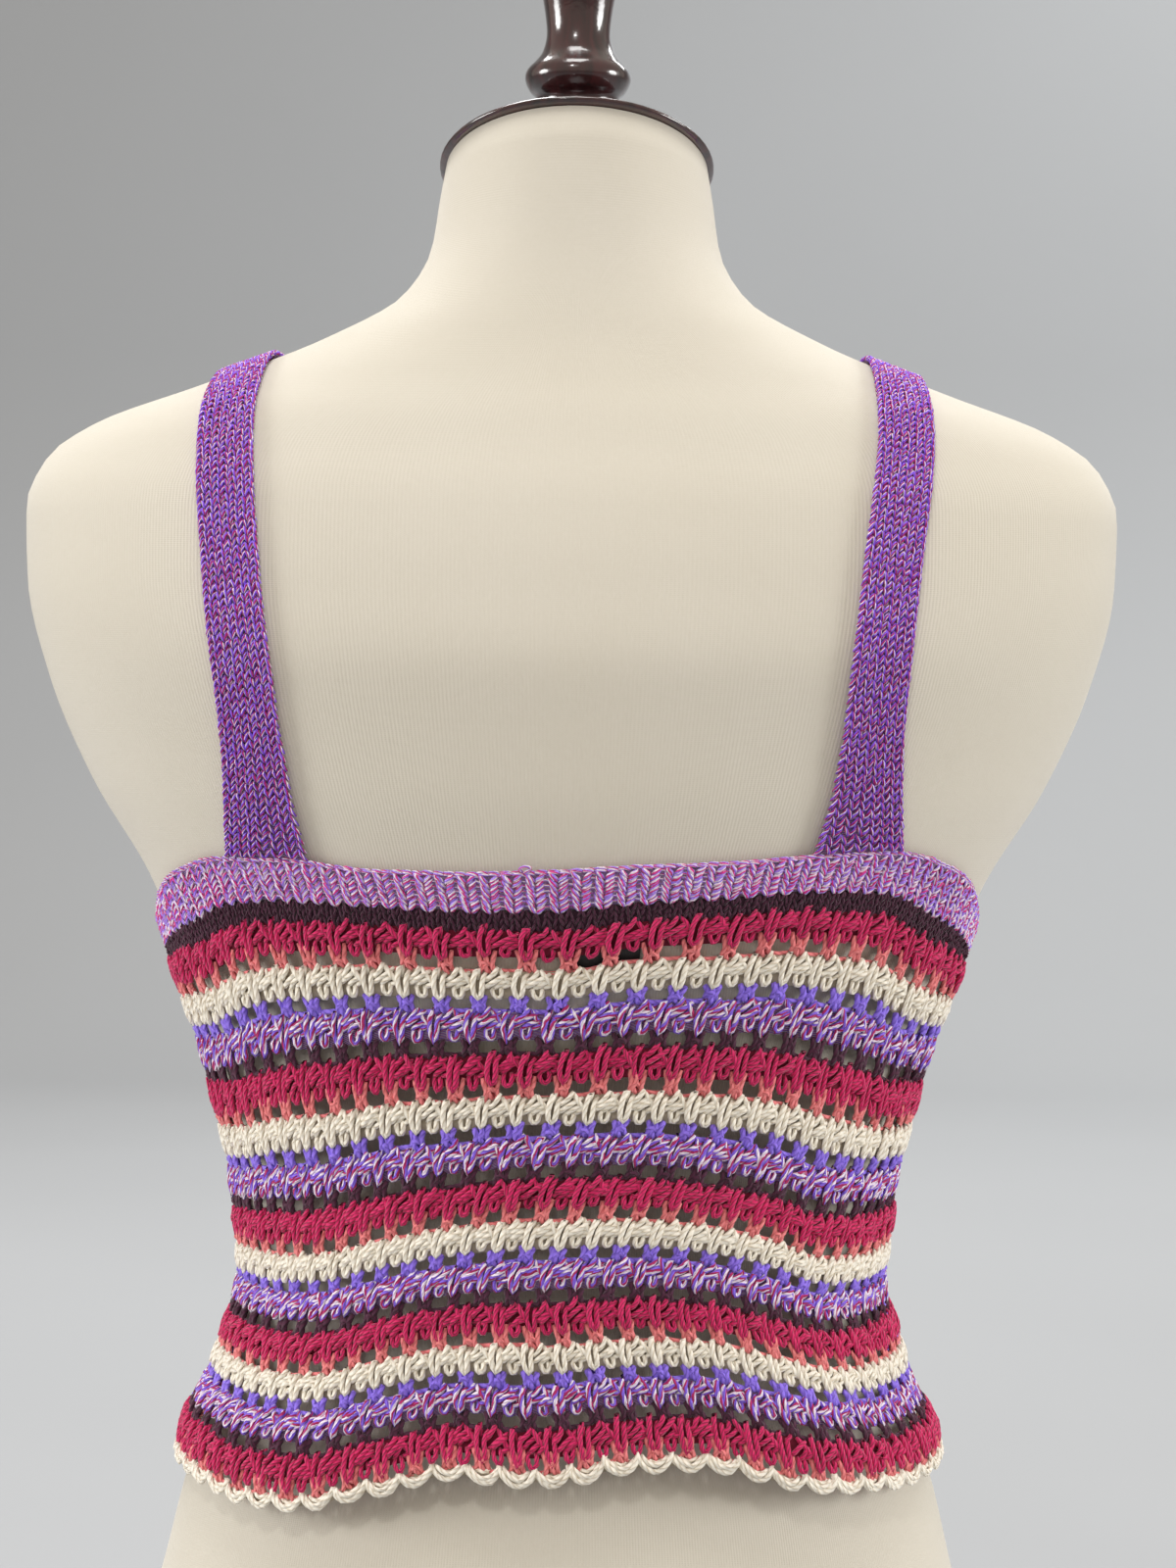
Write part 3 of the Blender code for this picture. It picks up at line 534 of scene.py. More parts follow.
@dataclass
class Yarns:
    """Swept yarns that are gathered into one mesh."""

    sides: int = 5
    flatness: float = 0.86
    end_taper: float = 0.72
    scatter: float = 40
    vertices: list[Array] = field(default_factory=list)
    quads: list[Array] = field(default_factory=list)
    caps: list[Array] = field(default_factory=list)
    quad_uv: list[Array] = field(default_factory=list)
    cap_uv: list[Array] = field(default_factory=list)
    total: int = 0

    def add(self, centres: Array, normals: Array, radius: float | Array) -> None:
        """Sweeps a round section along each of many paths.

        At every point the section's two axes are the cloth's normal and the direction
        square to it and to the path.  The yarn tapers a little to its two closed ends.

        Args:
            centres: paths by points by three.
            normals: outward normals of the cloth, in the same shape.
            radius: of the yarn, one number or one for each path and point.
        """
        paths, count, _ = centres.shape
        along = np.gradient(centres, axis=1)
        along /= np.linalg.norm(along, axis=2, keepdims=True) + 1e-12
        side = np.cross(along, normals)
        side /= np.linalg.norm(side, axis=2, keepdims=True) + 1e-12
        up = np.cross(side, along)
        taper = np.ones(count)
        taper[0] = taper[-1] = self.end_taper
        size = np.broadcast_to(radius, (paths, count)) * taper
        turn = np.arange(self.sides) * TAU / self.sides
        ring = (np.cos(turn)[:, None] * side[:, :, None] * size[..., None, None]
                + np.sin(turn)[:, None] * up[:, :, None] * size[..., None, None] * self.flatness)
        points = centres[:, :, None] + ring
        base = self.total + np.arange(paths)[:, None, None] * count * self.sides
        k = np.arange(count - 1)[None, :, None] * self.sides
        s = np.arange(self.sides)[None, None, :]
        n = (s + 1) % self.sides
        quads = np.stack([base + k + s, base + k + n, base + k + self.sides + n,
                          base + k + self.sides + s], axis=-1)
        length = np.concatenate([np.zeros((paths, 1)), np.cumsum(
            np.linalg.norm(np.diff(centres, axis=1), axis=2), axis=1)], axis=1) * MILLI
        # A scattered start, so that the plies of neighbouring yarns don't line up
        begin = np.sin((np.arange(paths) + 0.37 * self.total) * 12.9898) * 4375.85 % 1.0
        length = length + begin[:, None] * self.scatter
        low = np.broadcast_to(length[:, :-1, None], quads.shape[:3])
        high = np.broadcast_to(length[:, 1:, None], quads.shape[:3])
        left = np.broadcast_to(s / self.sides, quads.shape[:3])
        right = left + 1 / self.sides
        self.quad_uv.append(np.stack([np.stack([low, left], -1), np.stack([low, right], -1),
                                      np.stack([high, right], -1), np.stack([high, left], -1)],
                                     axis=3).reshape(-1, 4, 2))
        ends = np.concatenate([base[:, :, 0] + np.arange(self.sides)[None, ::-1],
                               base[:, :, 0] + (count - 1) * self.sides
                               + np.arange(self.sides)[None, :]])
        end_length = np.concatenate([length[:, 0], length[:, -1]])
        self.cap_uv.append(np.stack([np.repeat(end_length[:, None], self.sides, 1),
                                     np.full((2 * paths, self.sides), 0.5)], axis=-1))
        self.vertices.append(points.reshape(-1, 3))
        self.quads.append(quads.reshape(-1, 4))
        self.caps.append(ends)
        self.total += paths * count * self.sides

    def build(self, name: str, material: bpy.types.Material) -> bpy.types.Object:
        """Makes one smooth-shaded object of all the yarns.

        Args:
            name: of the object.
            material: of the yarn.

        Returns:
            The object.
        """
        quads = np.concatenate(self.quads)
        caps = np.concatenate(self.caps)
        uv = np.concatenate([np.concatenate(self.quad_uv).reshape(-1, 2),
                             np.concatenate(self.cap_uv).reshape(-1, 2)])
        return mesh_object(name, np.concatenate(self.vertices), [quads, caps], uv, [material])


def mesh_object(name: str, vertices: Array, faces: Sequence[Array], uv: Array | None,
                materials: Sequence[bpy.types.Material],
                slots: Array | None = None) -> bpy.types.Object:
    """Makes an object from whole arrays.

    Args:
        name: of the object and its mesh.
        vertices: corners, a row for each.
        faces: arrays of corner numbers, one array for each number of sides.
        uv: a row for each face's corner, in the order of the faces, or None.
        materials: the object's materials.
        slots: the material number of each face, or None.

    Returns:
        The object, linked to the scene.
    """
    loops = np.concatenate([part.ravel() for part in faces]).astype(np.int32)
    sizes = np.concatenate([np.full(len(part), part.shape[1]) for part in faces])
    starts = np.concatenate([[0], np.cumsum(sizes)[:-1]]).astype(np.int32)
    mesh = bpy.data.meshes.new(name)
    mesh.vertices.add(len(vertices))
    mesh.vertices.foreach_set("co", np.ascontiguousarray(vertices, np.float32).ravel())
    mesh.loops.add(len(loops))
    mesh.loops.foreach_set("vertex_index", loops)
    mesh.polygons.add(len(sizes))
    mesh.polygons.foreach_set("loop_start", starts)
    mesh.polygons.foreach_set("use_smooth", np.ones(len(sizes), bool))
    for material in materials:
        mesh.materials.append(material)
    if slots is not None:
        mesh.polygons.foreach_set("material_index", slots.astype(np.int32))
    mesh.update(calc_edges=True)
    if uv is not None:
        layer = mesh.uv_layers.new(name=MAP_NAME)
        layer.data.foreach_set("uv", np.ascontiguousarray(uv, np.float32).ravel())
    mesh.validate()
    piece = bpy.data.objects.new(name, mesh)
    bpy.context.scene.collection.objects.link(piece)
    return piece


def grid_quads(rows: int, columns: int, closed: bool = False) -> Array:
    """Faces of a grid of corners that is stored row by row.

    Args:
        rows: rows of corners.
        columns: corners in each row.
        closed: whether the last column is joined to the first.

    Returns:
        Four corner numbers for each face.
    """
    i = np.arange(rows - 1)[:, None] * columns
    k = np.arange(columns if closed else columns - 1)[None]
    n = (k + 1) % columns
    return np.stack([i + k, i + columns + k, i + columns + n, i + n], -1).reshape(-1, 4)


def thicken(piece: bpy.types.Object, wall: float) -> None:
    """Gives an open sheet its thickness, outwards from its points.

    Args:
        piece: the sheet.
        wall: the thickness.
    """
    shell = piece.modifiers.new("cloth", "SOLIDIFY")
    shell.thickness = wall
    shell.offset = 1.0


def dress(piece: bpy.types.Object, node_name: str | None = None) -> bpy.types.Object:
    """Puts a piece on the part's one body.

    Args:
        piece: the object.
        node_name: the solid that it replaces, or None.

    Returns:
        The same object.
    """
    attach(piece, "root")
    if node_name:
        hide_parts(node_name)
    return piece


@dataclass(frozen=True)
class Stitch:
    """A stitch or knot that repeats along a row: its strands and how far they stray.

    The paths' unit out is `out_unit` metres, and no yarn lies nearer to the inside of the
    cloth than `least_out`.  `own` is how far each point strays on its own, as a share of how
    far the whole strand does, and `swell` how much the yarns differ in radius.
    """

    strands: Sequence[Strand]
    across_wander: float = 0.02
    down_wander: float = 0.00028
    out_wander: float = 0.00016
    out_unit: float = 0.00088
    least_out: float = 0.0006
    own: float = 0.6
    swell: float = 0.06

    def lay(self, yarns: Yarns, cloth: Surface, places: Array, down: float | Array,
            stretch: float, rng: np.random.Generator, width: float = 1.0) -> None:
        """Lays the stitch at every place of a row.

        A strand's points are its path times the stitch's size, moved a little at random,
        joined by a smooth curve and then carried onto the cloth.

        Args:
            yarns: takes the swept yarns.
            cloth: the surface on which they lie.
            places: of the stitches, in repeats.
            down: distance down of the row's top, one number or one for each place.
            stretch: metres down for each unit of the paths.
            rng: the source of the small random moves.
            width: repeats across for each unit of the paths.
        """
        downs = np.broadcast_to(down, places.shape)
        wander = np.array([self.across_wander, self.down_wander, self.out_wander])
        for strand in self.strands:
            path = np.array(strand.path)
            scaled = path * np.array([width, stretch, self.out_unit])
            stray = rng.normal(size=(places.size, 1, 3)) + self.own * rng.normal(
                size=(places.size, len(path), 3))
            stray = stray * wander * strand.wander * np.array([width, 1.0, 1.0])
            points = scaled[None] + stray
            points[..., 0] += places[:, None]
            points[..., 1] += downs[:, None]
            weights = smoothing_weights(len(path), strand.count)
            smooth = np.einsum("kp,npc->nkc", weights, points)
            centres, normals = cloth.at(smooth[..., 0], smooth[..., 1],
                                        np.maximum(smooth[..., 2], self.least_out))
            swell = 1 + self.swell * rng.normal(size=(places.size, 1))
            yarns.add(centres, normals, strand.radius * swell)


@dataclass(frozen=True)
class Look:
    """Base of every finish: its name and how rough and how soft its surface is."""

    name: str
    roughness: float = 0.85
    sheen: float = 0.0


class Shading:
    """A node material in the making: its shader, and short ways to add nodes to it."""

    def __init__(self, look: Look) -> None:
        """Starts the material and sets the shader's constants.

        Args:
            look: gives the name, the roughness and the sheen.
        """
        self.material = bpy.data.materials.new(look.name)
        self.material.use_nodes = True
        self.tree = self.material.node_tree
        self.shader = self.tree.nodes["Principled BSDF"]
        self.shader.inputs["Roughness"].default_value = look.roughness
        self.shader.inputs["Sheen Weight"].default_value = look.sheen
        self.shader.inputs["Sheen Roughness"].default_value = 0.5
        self.position = self.node("ShaderNodeTexCoord").outputs["Object"]

    def node(self, kind: str, inputs: dict[str | int, object] | None = None,
             **settings: object) -> bpy.types.Node:
        """Adds a shader node.

        Args:
            kind: the node's type.
            inputs: socket names or numbers, each with a value or a socket to link.
            settings: the node's own properties.

        Returns:
            The node.
        """
        made = self.tree.nodes.new(kind)
        for key, value in settings.items():
            setattr(made, key, value)
        for key, value in (inputs or {}).items():
            if isinstance(value, bpy.types.NodeSocket):
                self.tree.links.new(value, made.inputs[key])
            else:
                made.inputs[key].default_value = value
        return made

    def calc(self, operation: str, *values: object) -> bpy.types.NodeSocket:
        """Adds a math node over sockets and numbers, and returns its result."""
        return self.node("ShaderNodeMath", dict(enumerate(values)), operation=operation).outputs[0]

    def plus(self, first: bpy.types.NodeSocket, second: bpy.types.NodeSocket,
             share: float) -> bpy.types.NodeSocket:
        """Adds a share of the second value to the first."""
        return self.calc("ADD", first, self.calc("MULTIPLY", second, share))

    def noise(self, scale: float, detail: float = 2.0, stretch: Triple | None = None,
              distortion: float = 0.0) -> bpy.types.NodeSocket:
        """Adds noise over the object's own space.

        Args:
            scale: of the noise, for one metre.
            detail: how many finer layers it has.
            stretch: scale along each axis, or None.
            distortion: how far it is warped.

        Returns:
            Its value.
        """
        place = self.position
        if stretch:
            place = self.node("ShaderNodeMapping", {"Vector": place, "Scale": stretch}).outputs[0]
        return self.node("ShaderNodeTexNoise", {
            "Vector": place, "Scale": scale, "Detail": detail,
            "Distortion": distortion}).outputs["Fac"]

    def own_map(self) -> Sequence[bpy.types.NodeSocket]:
        """The two values of the piece's own map."""
        uv = self.node("ShaderNodeUVMap", uv_map=MAP_NAME).outputs["UV"]
        return self.node("ShaderNodeSeparateXYZ", {0: uv}).outputs[:2]

    def ramp(self, factor: bpy.types.NodeSocket, stops: Stops,
             interpolation: str = "LINEAR") -> bpy.types.NodeSocket:
        """Adds a colour ramp.

        Args:
            factor: the value that it reads.
            stops: positions and colours.
            interpolation: how the colours follow each other.

        Returns:
            Its colour.
        """
        ramp = self.node("ShaderNodeValToRGB", {"Fac": factor})
        ramp.color_ramp.interpolation = interpolation
        elements = ramp.color_ramp.elements
        while len(elements) < len(stops):
            elements.new(0.5)
        for element, (position, colour) in zip(elements, stops):
            element.position = position
            element.color = (*colour, 1.0)
        return ramp.outputs["Color"]

    def finish(self, base: bpy.types.NodeSocket, height: bpy.types.NodeSocket | None = None,
               strength: float = 0.0, distance: float = 0.0,
               coat: bool = False) -> bpy.types.Material:
        """Links the colour and the relief to the shader.

        Args:
            base: the colour.
            height: the relief, or None for a smooth finish.
            strength: of the relief.
            distance: depth of the relief in metres.
            coat: whether the clear coat has the relief too.

        Returns:
            The material.
        """
        self.tree.links.new(base, self.shader.inputs["Base Color"])
        if height is not None:
            bump = self.node("ShaderNodeBump", {"Height": height, "Strength": strength,
                                                "Distance": distance})
            for socket in ("Normal", "Coat Normal")[:1 + coat]:
                self.tree.links.new(bump.outputs["Normal"], self.shader.inputs[socket])
        return self.material


@dataclass(frozen=True)
class PlyYarn(Look):
    """Cotton yarn of several plies.

    The plies are a wave over the yarn's own map: the number of turns round it plus the
    length along it, in millimetres, over the twist.  The colour is painted darker in the
    wave's grooves, as painted shade between the plies.
    """

    # dark is painted shade in the plies' grooves mixed with darker patches, and light the tone on
    # the plies
    dark: Triple = (0.2, 0.0, 0.0)
    light: Triple = (0.5, 0.0, 0.0)
    marl: Stops = ()
    plies: int = 3
    twist: float = 9.0
    depth: float = 0.00030
    # Painted shade: the colour multiplied into the grooves between a marl's plies
    groove_shade: Triple = (0.58, 0.52, 0.64)

    def make(self) -> bpy.types.Material:
        """Builds the material: ply colours, patches of tone, painted shade in the plies' grooves,
        fuzz and the plies' relief.

        Returns:
            The material.
        """
        kit = Shading(self)
        along, around = kit.own_map()
        turns = kit.calc("ADD", around, kit.calc("DIVIDE", along, self.twist))
        relief = kit.calc("ABSOLUTE", kit.calc("SINE", kit.calc(
            "MULTIPLY", turns, TAU * self.plies / 2)))
        patches = kit.noise(170.0, 3.0)
        if self.marl:
            shifted = kit.calc("FRACT", kit.plus(kit.calc("FRACT", turns), patches, 0.7))
            plies = kit.ramp(shifted, self.marl, "CONSTANT")
            # Painted shade: the marl's ply colours are darkened in the grooves between the plies
            shade = kit.ramp(relief, ((0.0, self.groove_shade), (0.5, (1.0, 1.0, 1.0))))
            base = kit.node("ShaderNodeMix", {0: 0.8, 6: plies, 7: shade}, data_type="RGBA",
                            blend_type="MULTIPLY").outputs[2]
        else:
            # Painted shade: darker in the plies' grooves, mixed with darker random patches
            groove_shade_and_patches = kit.plus(kit.calc("MULTIPLY", relief, 0.6), patches, 0.5)
            base = kit.ramp(groove_shade_and_patches, ((0.15, self.dark), (0.72, self.light)))
        fuzz = kit.noise(2600.0)
        return kit.finish(base, kit.plus(relief, fuzz, 0.5), 0.75, self.depth)


@dataclass(frozen=True)
class Jersey(Look):
    """Ivory jersey: fine upright wales, a slight unevenness and soft light and dark."""

    colour: Triple = (0.690, 0.652, 0.570)
    shade: Triple = (0.650, 0.608, 0.515)
    wale: float = 0.0008
    course_share: float = 0.8

    def make(self) -> bpy.types.Material:
        """Builds the material from waves over the piece's own map of turns and heights.

        Returns:
            The material.
        """
        kit = Shading(self)
        wales, rows = (kit.calc("SINE", kit.calc("MULTIPLY", kit.calc("DIVIDE", run, pitch), TAU))
                       for run, pitch in zip(kit.own_map(),
                                             (self.wale, self.wale * self.course_share)))
        grain = kit.noise(900.0)
        tone = kit.plus(kit.calc("MULTIPLY", kit.noise(9.0, 4.0), 0.8), grain, 0.3)
        base = kit.ramp(tone, ((0.3, self.shade), (0.75, self.colour)))
        height = kit.plus(kit.plus(wales, rows, 0.35), grain, 0.8)
        return kit.finish(base, height, 0.28, 0.00012)


@dataclass(frozen=True)
class PolishedWood(Look):
    """Dark red-brown wood under thick lacquer, with faint grain and dimples."""

    dark: Triple = (0.012, 0.003, 0.004)
    light: Triple = (0.055, 0.010, 0.012)

    def make(self) -> bpy.types.Material:
        """Builds the material: grain drawn out along the height, under a clear coat.

        Returns:
            The material.
        """
        kit = Shading(self)
        kit.shader.inputs["Coat Weight"].default_value = 1.0
        kit.shader.inputs["Coat Roughness"].default_value = 0.08
        grain = kit.noise(240.0, 5.0, (1.0, 1.0, 0.12), 0.6)
        base = kit.ramp(grain, ((0.35, self.dark), (0.7, self.light)))
        return kit.finish(base, kit.noise(160.0, 3.0), 0.22, 0.0008, coat=True)


@dataclass(frozen=True)
class Satin(Look):
    """Black woven satin of the blank label."""

    dark: Triple = (0.004, 0.004, 0.005)
    light: Triple = (0.020, 0.020, 0.024)

    def make(self) -> bpy.types.Material:
        """Builds the material: fine crossing threads over near black.

        Returns:
            The material.
        """
        kit = Shading(self)
        weave = kit.noise(1.0, 1.0, (2600.0, 300.0, 1900.0))
        return kit.finish(kit.ramp(weave, ((0.3, self.dark), (0.7, self.light))), weave,
                          0.3, 0.0001)


@dataclass(frozen=True)
class Plaster(Look):
    """Plain pale finish of the floor and the backdrop."""

    colour: Triple = (0.410, 0.425, 0.445)

    def make(self) -> bpy.types.Material:
        """Builds the material: one pale grey with a very faint cloudiness.

        Returns:
            The material.
        """
        kit = Shading(self)
        darker = tuple(0.97 * c for c in self.colour)
        return kit.finish(kit.ramp(kit.noise(1.3), ((0.3, darker), (0.7, self.colour))))


class Palette:
    """The finishes of the top, the form and the stage, each made once."""

    def __init__(self) -> None:
        """Makes every material."""
        violet = (0.260, 0.135, 0.830)
        white = (0.930, 0.820, 0.960)
        red = (0.470, 0.016, 0.140)
        marl = ((0.0, violet), (0.20, white), (0.38, red), (0.54, violet), (0.70, white),
                (0.86, red))
        fine = ((0.0, (0.290, 0.110, 0.900)), (0.25, white), (0.35, (0.440, 0.012, 0.180)),
                (0.54, (0.260, 0.090, 0.820)), (0.75, white), (0.83, (0.500, 0.014, 0.200)))
        bright = ((0.0, (0.440, 0.250, 0.980)), (0.20, white), (0.38, (0.780, 0.030, 0.300)),
                  (0.54, (0.420, 0.220, 0.980)), (0.70, white), (0.86, (0.620, 0.020, 0.190)))
        # Sheen, plies, and the tones in the grooves and on the plies, where the darker tone is
        # painted shade mixed with darker random patches
        cottons = {
            Tone.CRIMSON: (0.2, 4, (0.130, 0.001, 0.020), (0.700, 0.014, 0.135)),
            Tone.CORAL: (0.2, 3, (0.600, 0.105, 0.115), (0.900, 0.250, 0.260)),
            Tone.CREAM: (0.3, 3, (0.700, 0.600, 0.440), (0.985, 0.935, 0.830)),
            Tone.VIOLET: (0.2, 3, (0.140, 0.070, 0.520), (0.310, 0.190, 0.900)),
            Tone.PLUM: (0.15, 3, (0.016, 0.003, 0.010), (0.075, 0.014, 0.042)),
        }
        # Tones of the sheets behind the yarns, darker than the yarns: painted shade between the
        # stitches
        shaded_grounds = {
            Tone.CRIMSON: ((0.070, 0.001, 0.010), (0.200, 0.004, 0.030)),
            Tone.CORAL: ((0.260, 0.030, 0.035), (0.420, 0.065, 0.075)),
            Tone.CREAM: ((0.380, 0.310, 0.220), (0.560, 0.480, 0.370)),
            Tone.VIOLET: ((0.050, 0.020, 0.200), (0.110, 0.060, 0.380)),
            Tone.PLUM: ((0.012, 0.002, 0.008), (0.040, 0.008, 0.024)),
        }
        self.yarn = {tone: PlyYarn(f"{tone.value}_cotton", 0.9, sheen, dark, light,
                                   plies=plies).make()
                     for tone, (sheen, plies, dark, light) in cottons.items()}
        self.yarn[Tone.MARL] = PlyYarn("marl_cotton", 0.85, 0.1, marl=marl, plies=6,
                                       twist=13.0).make()
        # The strap's and the band's marls, each with its own painted shade in the plies' grooves
        self.strap = PlyYarn("marl_strap_cotton", 0.88, 0.1, marl=fine,
                             groove_shade=(0.40, 0.32, 0.46)).make()
        self.band = PlyYarn("marl_band_cotton", 0.88, 0.3, marl=bright, plies=6, twist=11.0,
                            depth=0.00022, groove_shade=(0.92, 0.85, 0.96)).make()
        self.ground = {tone: PlyYarn(f"{tone.value}_ground", 0.95, dark=dark, light=light).make()
                       for tone, (dark, light) in shaded_grounds.items()}
        # The marl at 62 per cent for the sheets behind the yarns: painted shade between the
        # stitches
        shaded_marl = tuple((stop, tuple(0.62 * c for c in colour)) for stop, colour in marl)
        self.ground[Tone.MARL] = PlyYarn("marl_ground", 0.95, marl=shaded_marl, plies=6,
                                         twist=5.0).make()
        self.jersey = Jersey("ivory_jersey", 0.92, 0.30).make()
        self.wood = PolishedWood("dark_polished_wood", 0.22).make()
        self.satin = Satin("black_label_satin", 0.45).make()
        self.stage = Plaster("pale_plaster", 0.95).make()


@dataclass(frozen=True)
class Torso:
    """The smooth jersey-covered torso, a little fuller under the cloth's top rows."""

    figure: Figure
    columns: int = 128
    rings: int = 112
    back_fullness: float = 0.0030
    back_height: float = 0.358
    back_reach: float = 0.017
    back_spread: float = 0.8

    def levels(self) -> Array:
        """Heights of the rings, evenly spaced along the side.

        Returns:
            A height for each ring, from the foot up.
        """
        level = np.linspace(self.figure.sections[0][0], self.figure.neck_top, 600)
        width = self.figure.column(1, level)
        along = np.concatenate([[0.0], np.cumsum(np.hypot(np.diff(level), np.diff(width)))])
        return np.interp(np.linspace(0.0, along[-1], self.rings), along, level)

    def build(self, material: bpy.types.Material) -> bpy.types.Object:
        """Makes the torso from its rings and closes it below and at the neck.

        A ring is the squared oval at its level, and near the neck's top its height rises
        to the back with the slope of the top.  Under the top rows the back is a little
        fuller, as padding is where cloth lies on it: a soft mound over height and angle.

        Args:
            material: the jersey.

        Returns:
            The object.
        """
        figure = self.figure
        levels = self.levels()[:, None]
        step = np.arange(self.columns)[None] * TAU / self.columns
        angle = np.arctan2(figure.column(2, levels) * np.sin(step),
                           figure.column(1, levels) * np.cos(step))
        level = np.broadcast_to(levels, angle.shape)
        mound = np.exp(-((level - self.back_height) / self.back_reach) ** 2
                       - ((angle - math.pi / 2) / self.back_spread) ** 2)
        radius = figure.radius(level, angle) + self.back_fullness * mound
        blend = np.clip((level - figure.tilt_from) / (figure.neck_top - figure.tilt_from), 0, 1)
        away = radius * np.sin(angle)
        points = np.stack([radius * np.cos(angle), figure.centre(level) + away,
                           level + figure.neck_tilt * away * blend ** 2], axis=-1)
        flat = points.reshape(-1, 3)
        quads = grid_quads(self.rings, self.columns, True)[:, [0, 3, 2, 1]]
        k = np.arange(self.columns)
        caps = np.stack([k[::-1], (self.rings - 1) * self.columns + k])
        shape = (self.rings - 1, self.columns)
        wide = TAU / self.columns * np.mean(radius)
        left = np.broadcast_to(k * wide, shape)
        low, high = (np.broadcast_to(part, shape) for part in (levels[:-1], levels[1:]))
        uv = np.stack([np.stack(pair, -1) for pair in (
            (left, low), (left + wide, low), (left + wide, high), (left, high))], 2)
        cap_uv = flat[caps][..., :2]
        piece = mesh_object("torso", flat, [quads, caps],
                            np.concatenate([uv.reshape(-1, 2), cap_uv.reshape(-1, 2)]), [material])
        sharp = piece.data.attributes.new("sharp_face", "BOOLEAN", "FACE")
        flags = np.zeros(len(piece.data.polygons), bool)
        flags[-2:] = True
        sharp.data.foreach_set("value", flags)
        return dress(piece, "form_body")


@dataclass(frozen=True)
class NeckWood:
    """The turned neck cap and the finial, with the same profiles as their solids."""

    figure: Figure
    seam: float = 0.0003
    cap_radius: float = 0.0490
    cap_rim: float = 0.0030
    cap_dome: float = 0.0052
    cap_rounding: float = 0.0015
    steps: int = 64
    sharp_angle: float = 50
    finial: tuple[tuple[float, float], ...] = (
        (0.1100, 0.0000), (0.1090, 0.0060), (0.1050, 0.0115), (0.0980, 0.0158),
        (0.0890, 0.0172), (0.0790, 0.0162), (0.0690, 0.0142), (0.0580, 0.0122),
        (0.0500, 0.0115), (0.0440, 0.0128), (0.0405, 0.0152), (0.0370, 0.0184),
        (0.0335, 0.0190), (0.0295, 0.0172), (0.0265, 0.0145), (0.0205, 0.0150),
        (0.0160, 0.0178), (0.0130, 0.0195), (0.0060, 0.0195),
    )

    def turn(self, name: str, node_name: str, profile: Array, material: bpy.types.Material,
             slope: float = 0.0, foot: float = 0.0) -> bpy.types.Object:
        """Turns a profile round the neck's middle.

        Each point of the profile becomes a ring of the same radius and height.  The rings
        are then sloped as a whole, or the last ring alone is laid on the cap.

        Args:
            name: of the piece.
            node_name: of the solid that it replaces.
            profile: heights and radii from the top down, the first on the axis.
            material: its finish.
            slope: rise to the back of the whole piece.
            foot: rise to the back of the last ring alone.

        Returns:
            The object.
        """
        turn = np.arange(self.steps) * TAU / self.steps
        ring = np.stack([np.cos(turn), np.sin(turn), np.zeros(self.steps)], axis=-1)
        upright = np.array([0.0, 0.0, 1.0])
        points = profile[1:, 1, None, None] * ring + profile[1:, 0, None, None] * upright
        points[-1, :, 2] += foot * points[-1, :, 1]
        points = np.concatenate([points.reshape(-1, 3), [[0.0, 0.0, profile[0, 0]]]])
        tilt = math.atan(slope)
        turned = np.array([[1, 0, 0], [0, math.cos(tilt), -math.sin(tilt)],
                           [0, math.sin(tilt), math.cos(tilt)]])
        top = self.figure.neck_top
        centre = np.array([0.0, float(self.figure.centre(np.array([top]))[0]), top])
        points = points @ turned.T + centre
        rows = len(profile) - 1
        k = np.arange(self.steps)
        quads = grid_quads(rows, self.steps, True)
        crown = np.stack([np.full(self.steps, len(points) - 1), k, (k + 1) % self.steps], -1)
        under = ((rows - 1) * self.steps + k[::-1])[None]
        piece = mesh_object(name, points, [quads, crown, under], None, [material])
        piece.data.set_sharp_from_angle(angle=math.radians(self.sharp_angle))
        return dress(piece, node_name)

    def build(self, material: bpy.types.Material) -> None:
        """Makes the cap and the finial in place of their solids.

        Args:
            material: the lacquered wood.
        """
        seam, rim, rounding = self.seam, self.cap_rim, self.cap_rounding
        cap = smooth_profile(((seam + self.cap_dome, 0.0),
                              (seam + self.cap_dome * 0.9, self.cap_radius * 0.55),
                              (seam + rim, self.cap_radius - 2 * rounding),
                              (seam + rim * 0.7, self.cap_radius),
                              (seam + rim * 0.3, self.cap_radius),
                              (seam, self.cap_radius - rounding)), 3)
        self.turn("cap_of_neck", "neck_cap", cap, material, slope=self.figure.neck_tilt)
        self.turn("turned_finial", "finial", smooth_profile(self.finial, 4), material,
                  foot=self.figure.neck_tilt)


def sheet_on(name: str, surface: Surface, places: Array, downs: Array, out: float,
             map_scale: tuple[float, float], material: bpy.types.Material,
             inward: bool = False) -> bpy.types.Object:
    """Makes a sheet that lies on a surface, as a grid of places across by distances down.

    Args:
        name: of the object.
        surface: that it lies on.
        places: across, in the surface's units.
        downs: down, in the surface's units.
        out: distance out from the surface's inside.
        map_scale: of the sheet's own map, across and down.
        material: its finish.
        inward: whether the grid's faces point inwards and are turned over.

    Returns:
        The object, without thickness.
    """
    down_grid, place_grid = np.meshgrid(downs, places, indexing="ij")
    points, _ = surface.at(place_grid, down_grid, np.full(place_grid.shape, out))
    quads = grid_quads(len(downs), len(places))
    quads = quads[:, ::-1] if inward else quads
    uv = np.stack([place_grid * map_scale[0], down_grid * map_scale[1]], -1).reshape(-1, 2)
    return mesh_object(name, points.reshape(-1, 3), [quads], uv[quads.ravel()], [material])


def smooth_profile(profile: Sequence[tuple[float, float]], parts: int) -> Array:
    """Divides each stretch of a profile into parts along a smooth curve through it."""
    points = np.array(profile)
    return smoothing_weights(len(points), (len(points) - 1) * parts + 1) @ points


def mirrored(strand: Strand) -> Strand:
    """The same strand turned over from side to side about the stitch's place."""
    return Strand(tuple((-x, y, out) for x, y, out in strand.path),
                  strand.radius, strand.count, strand.wander)


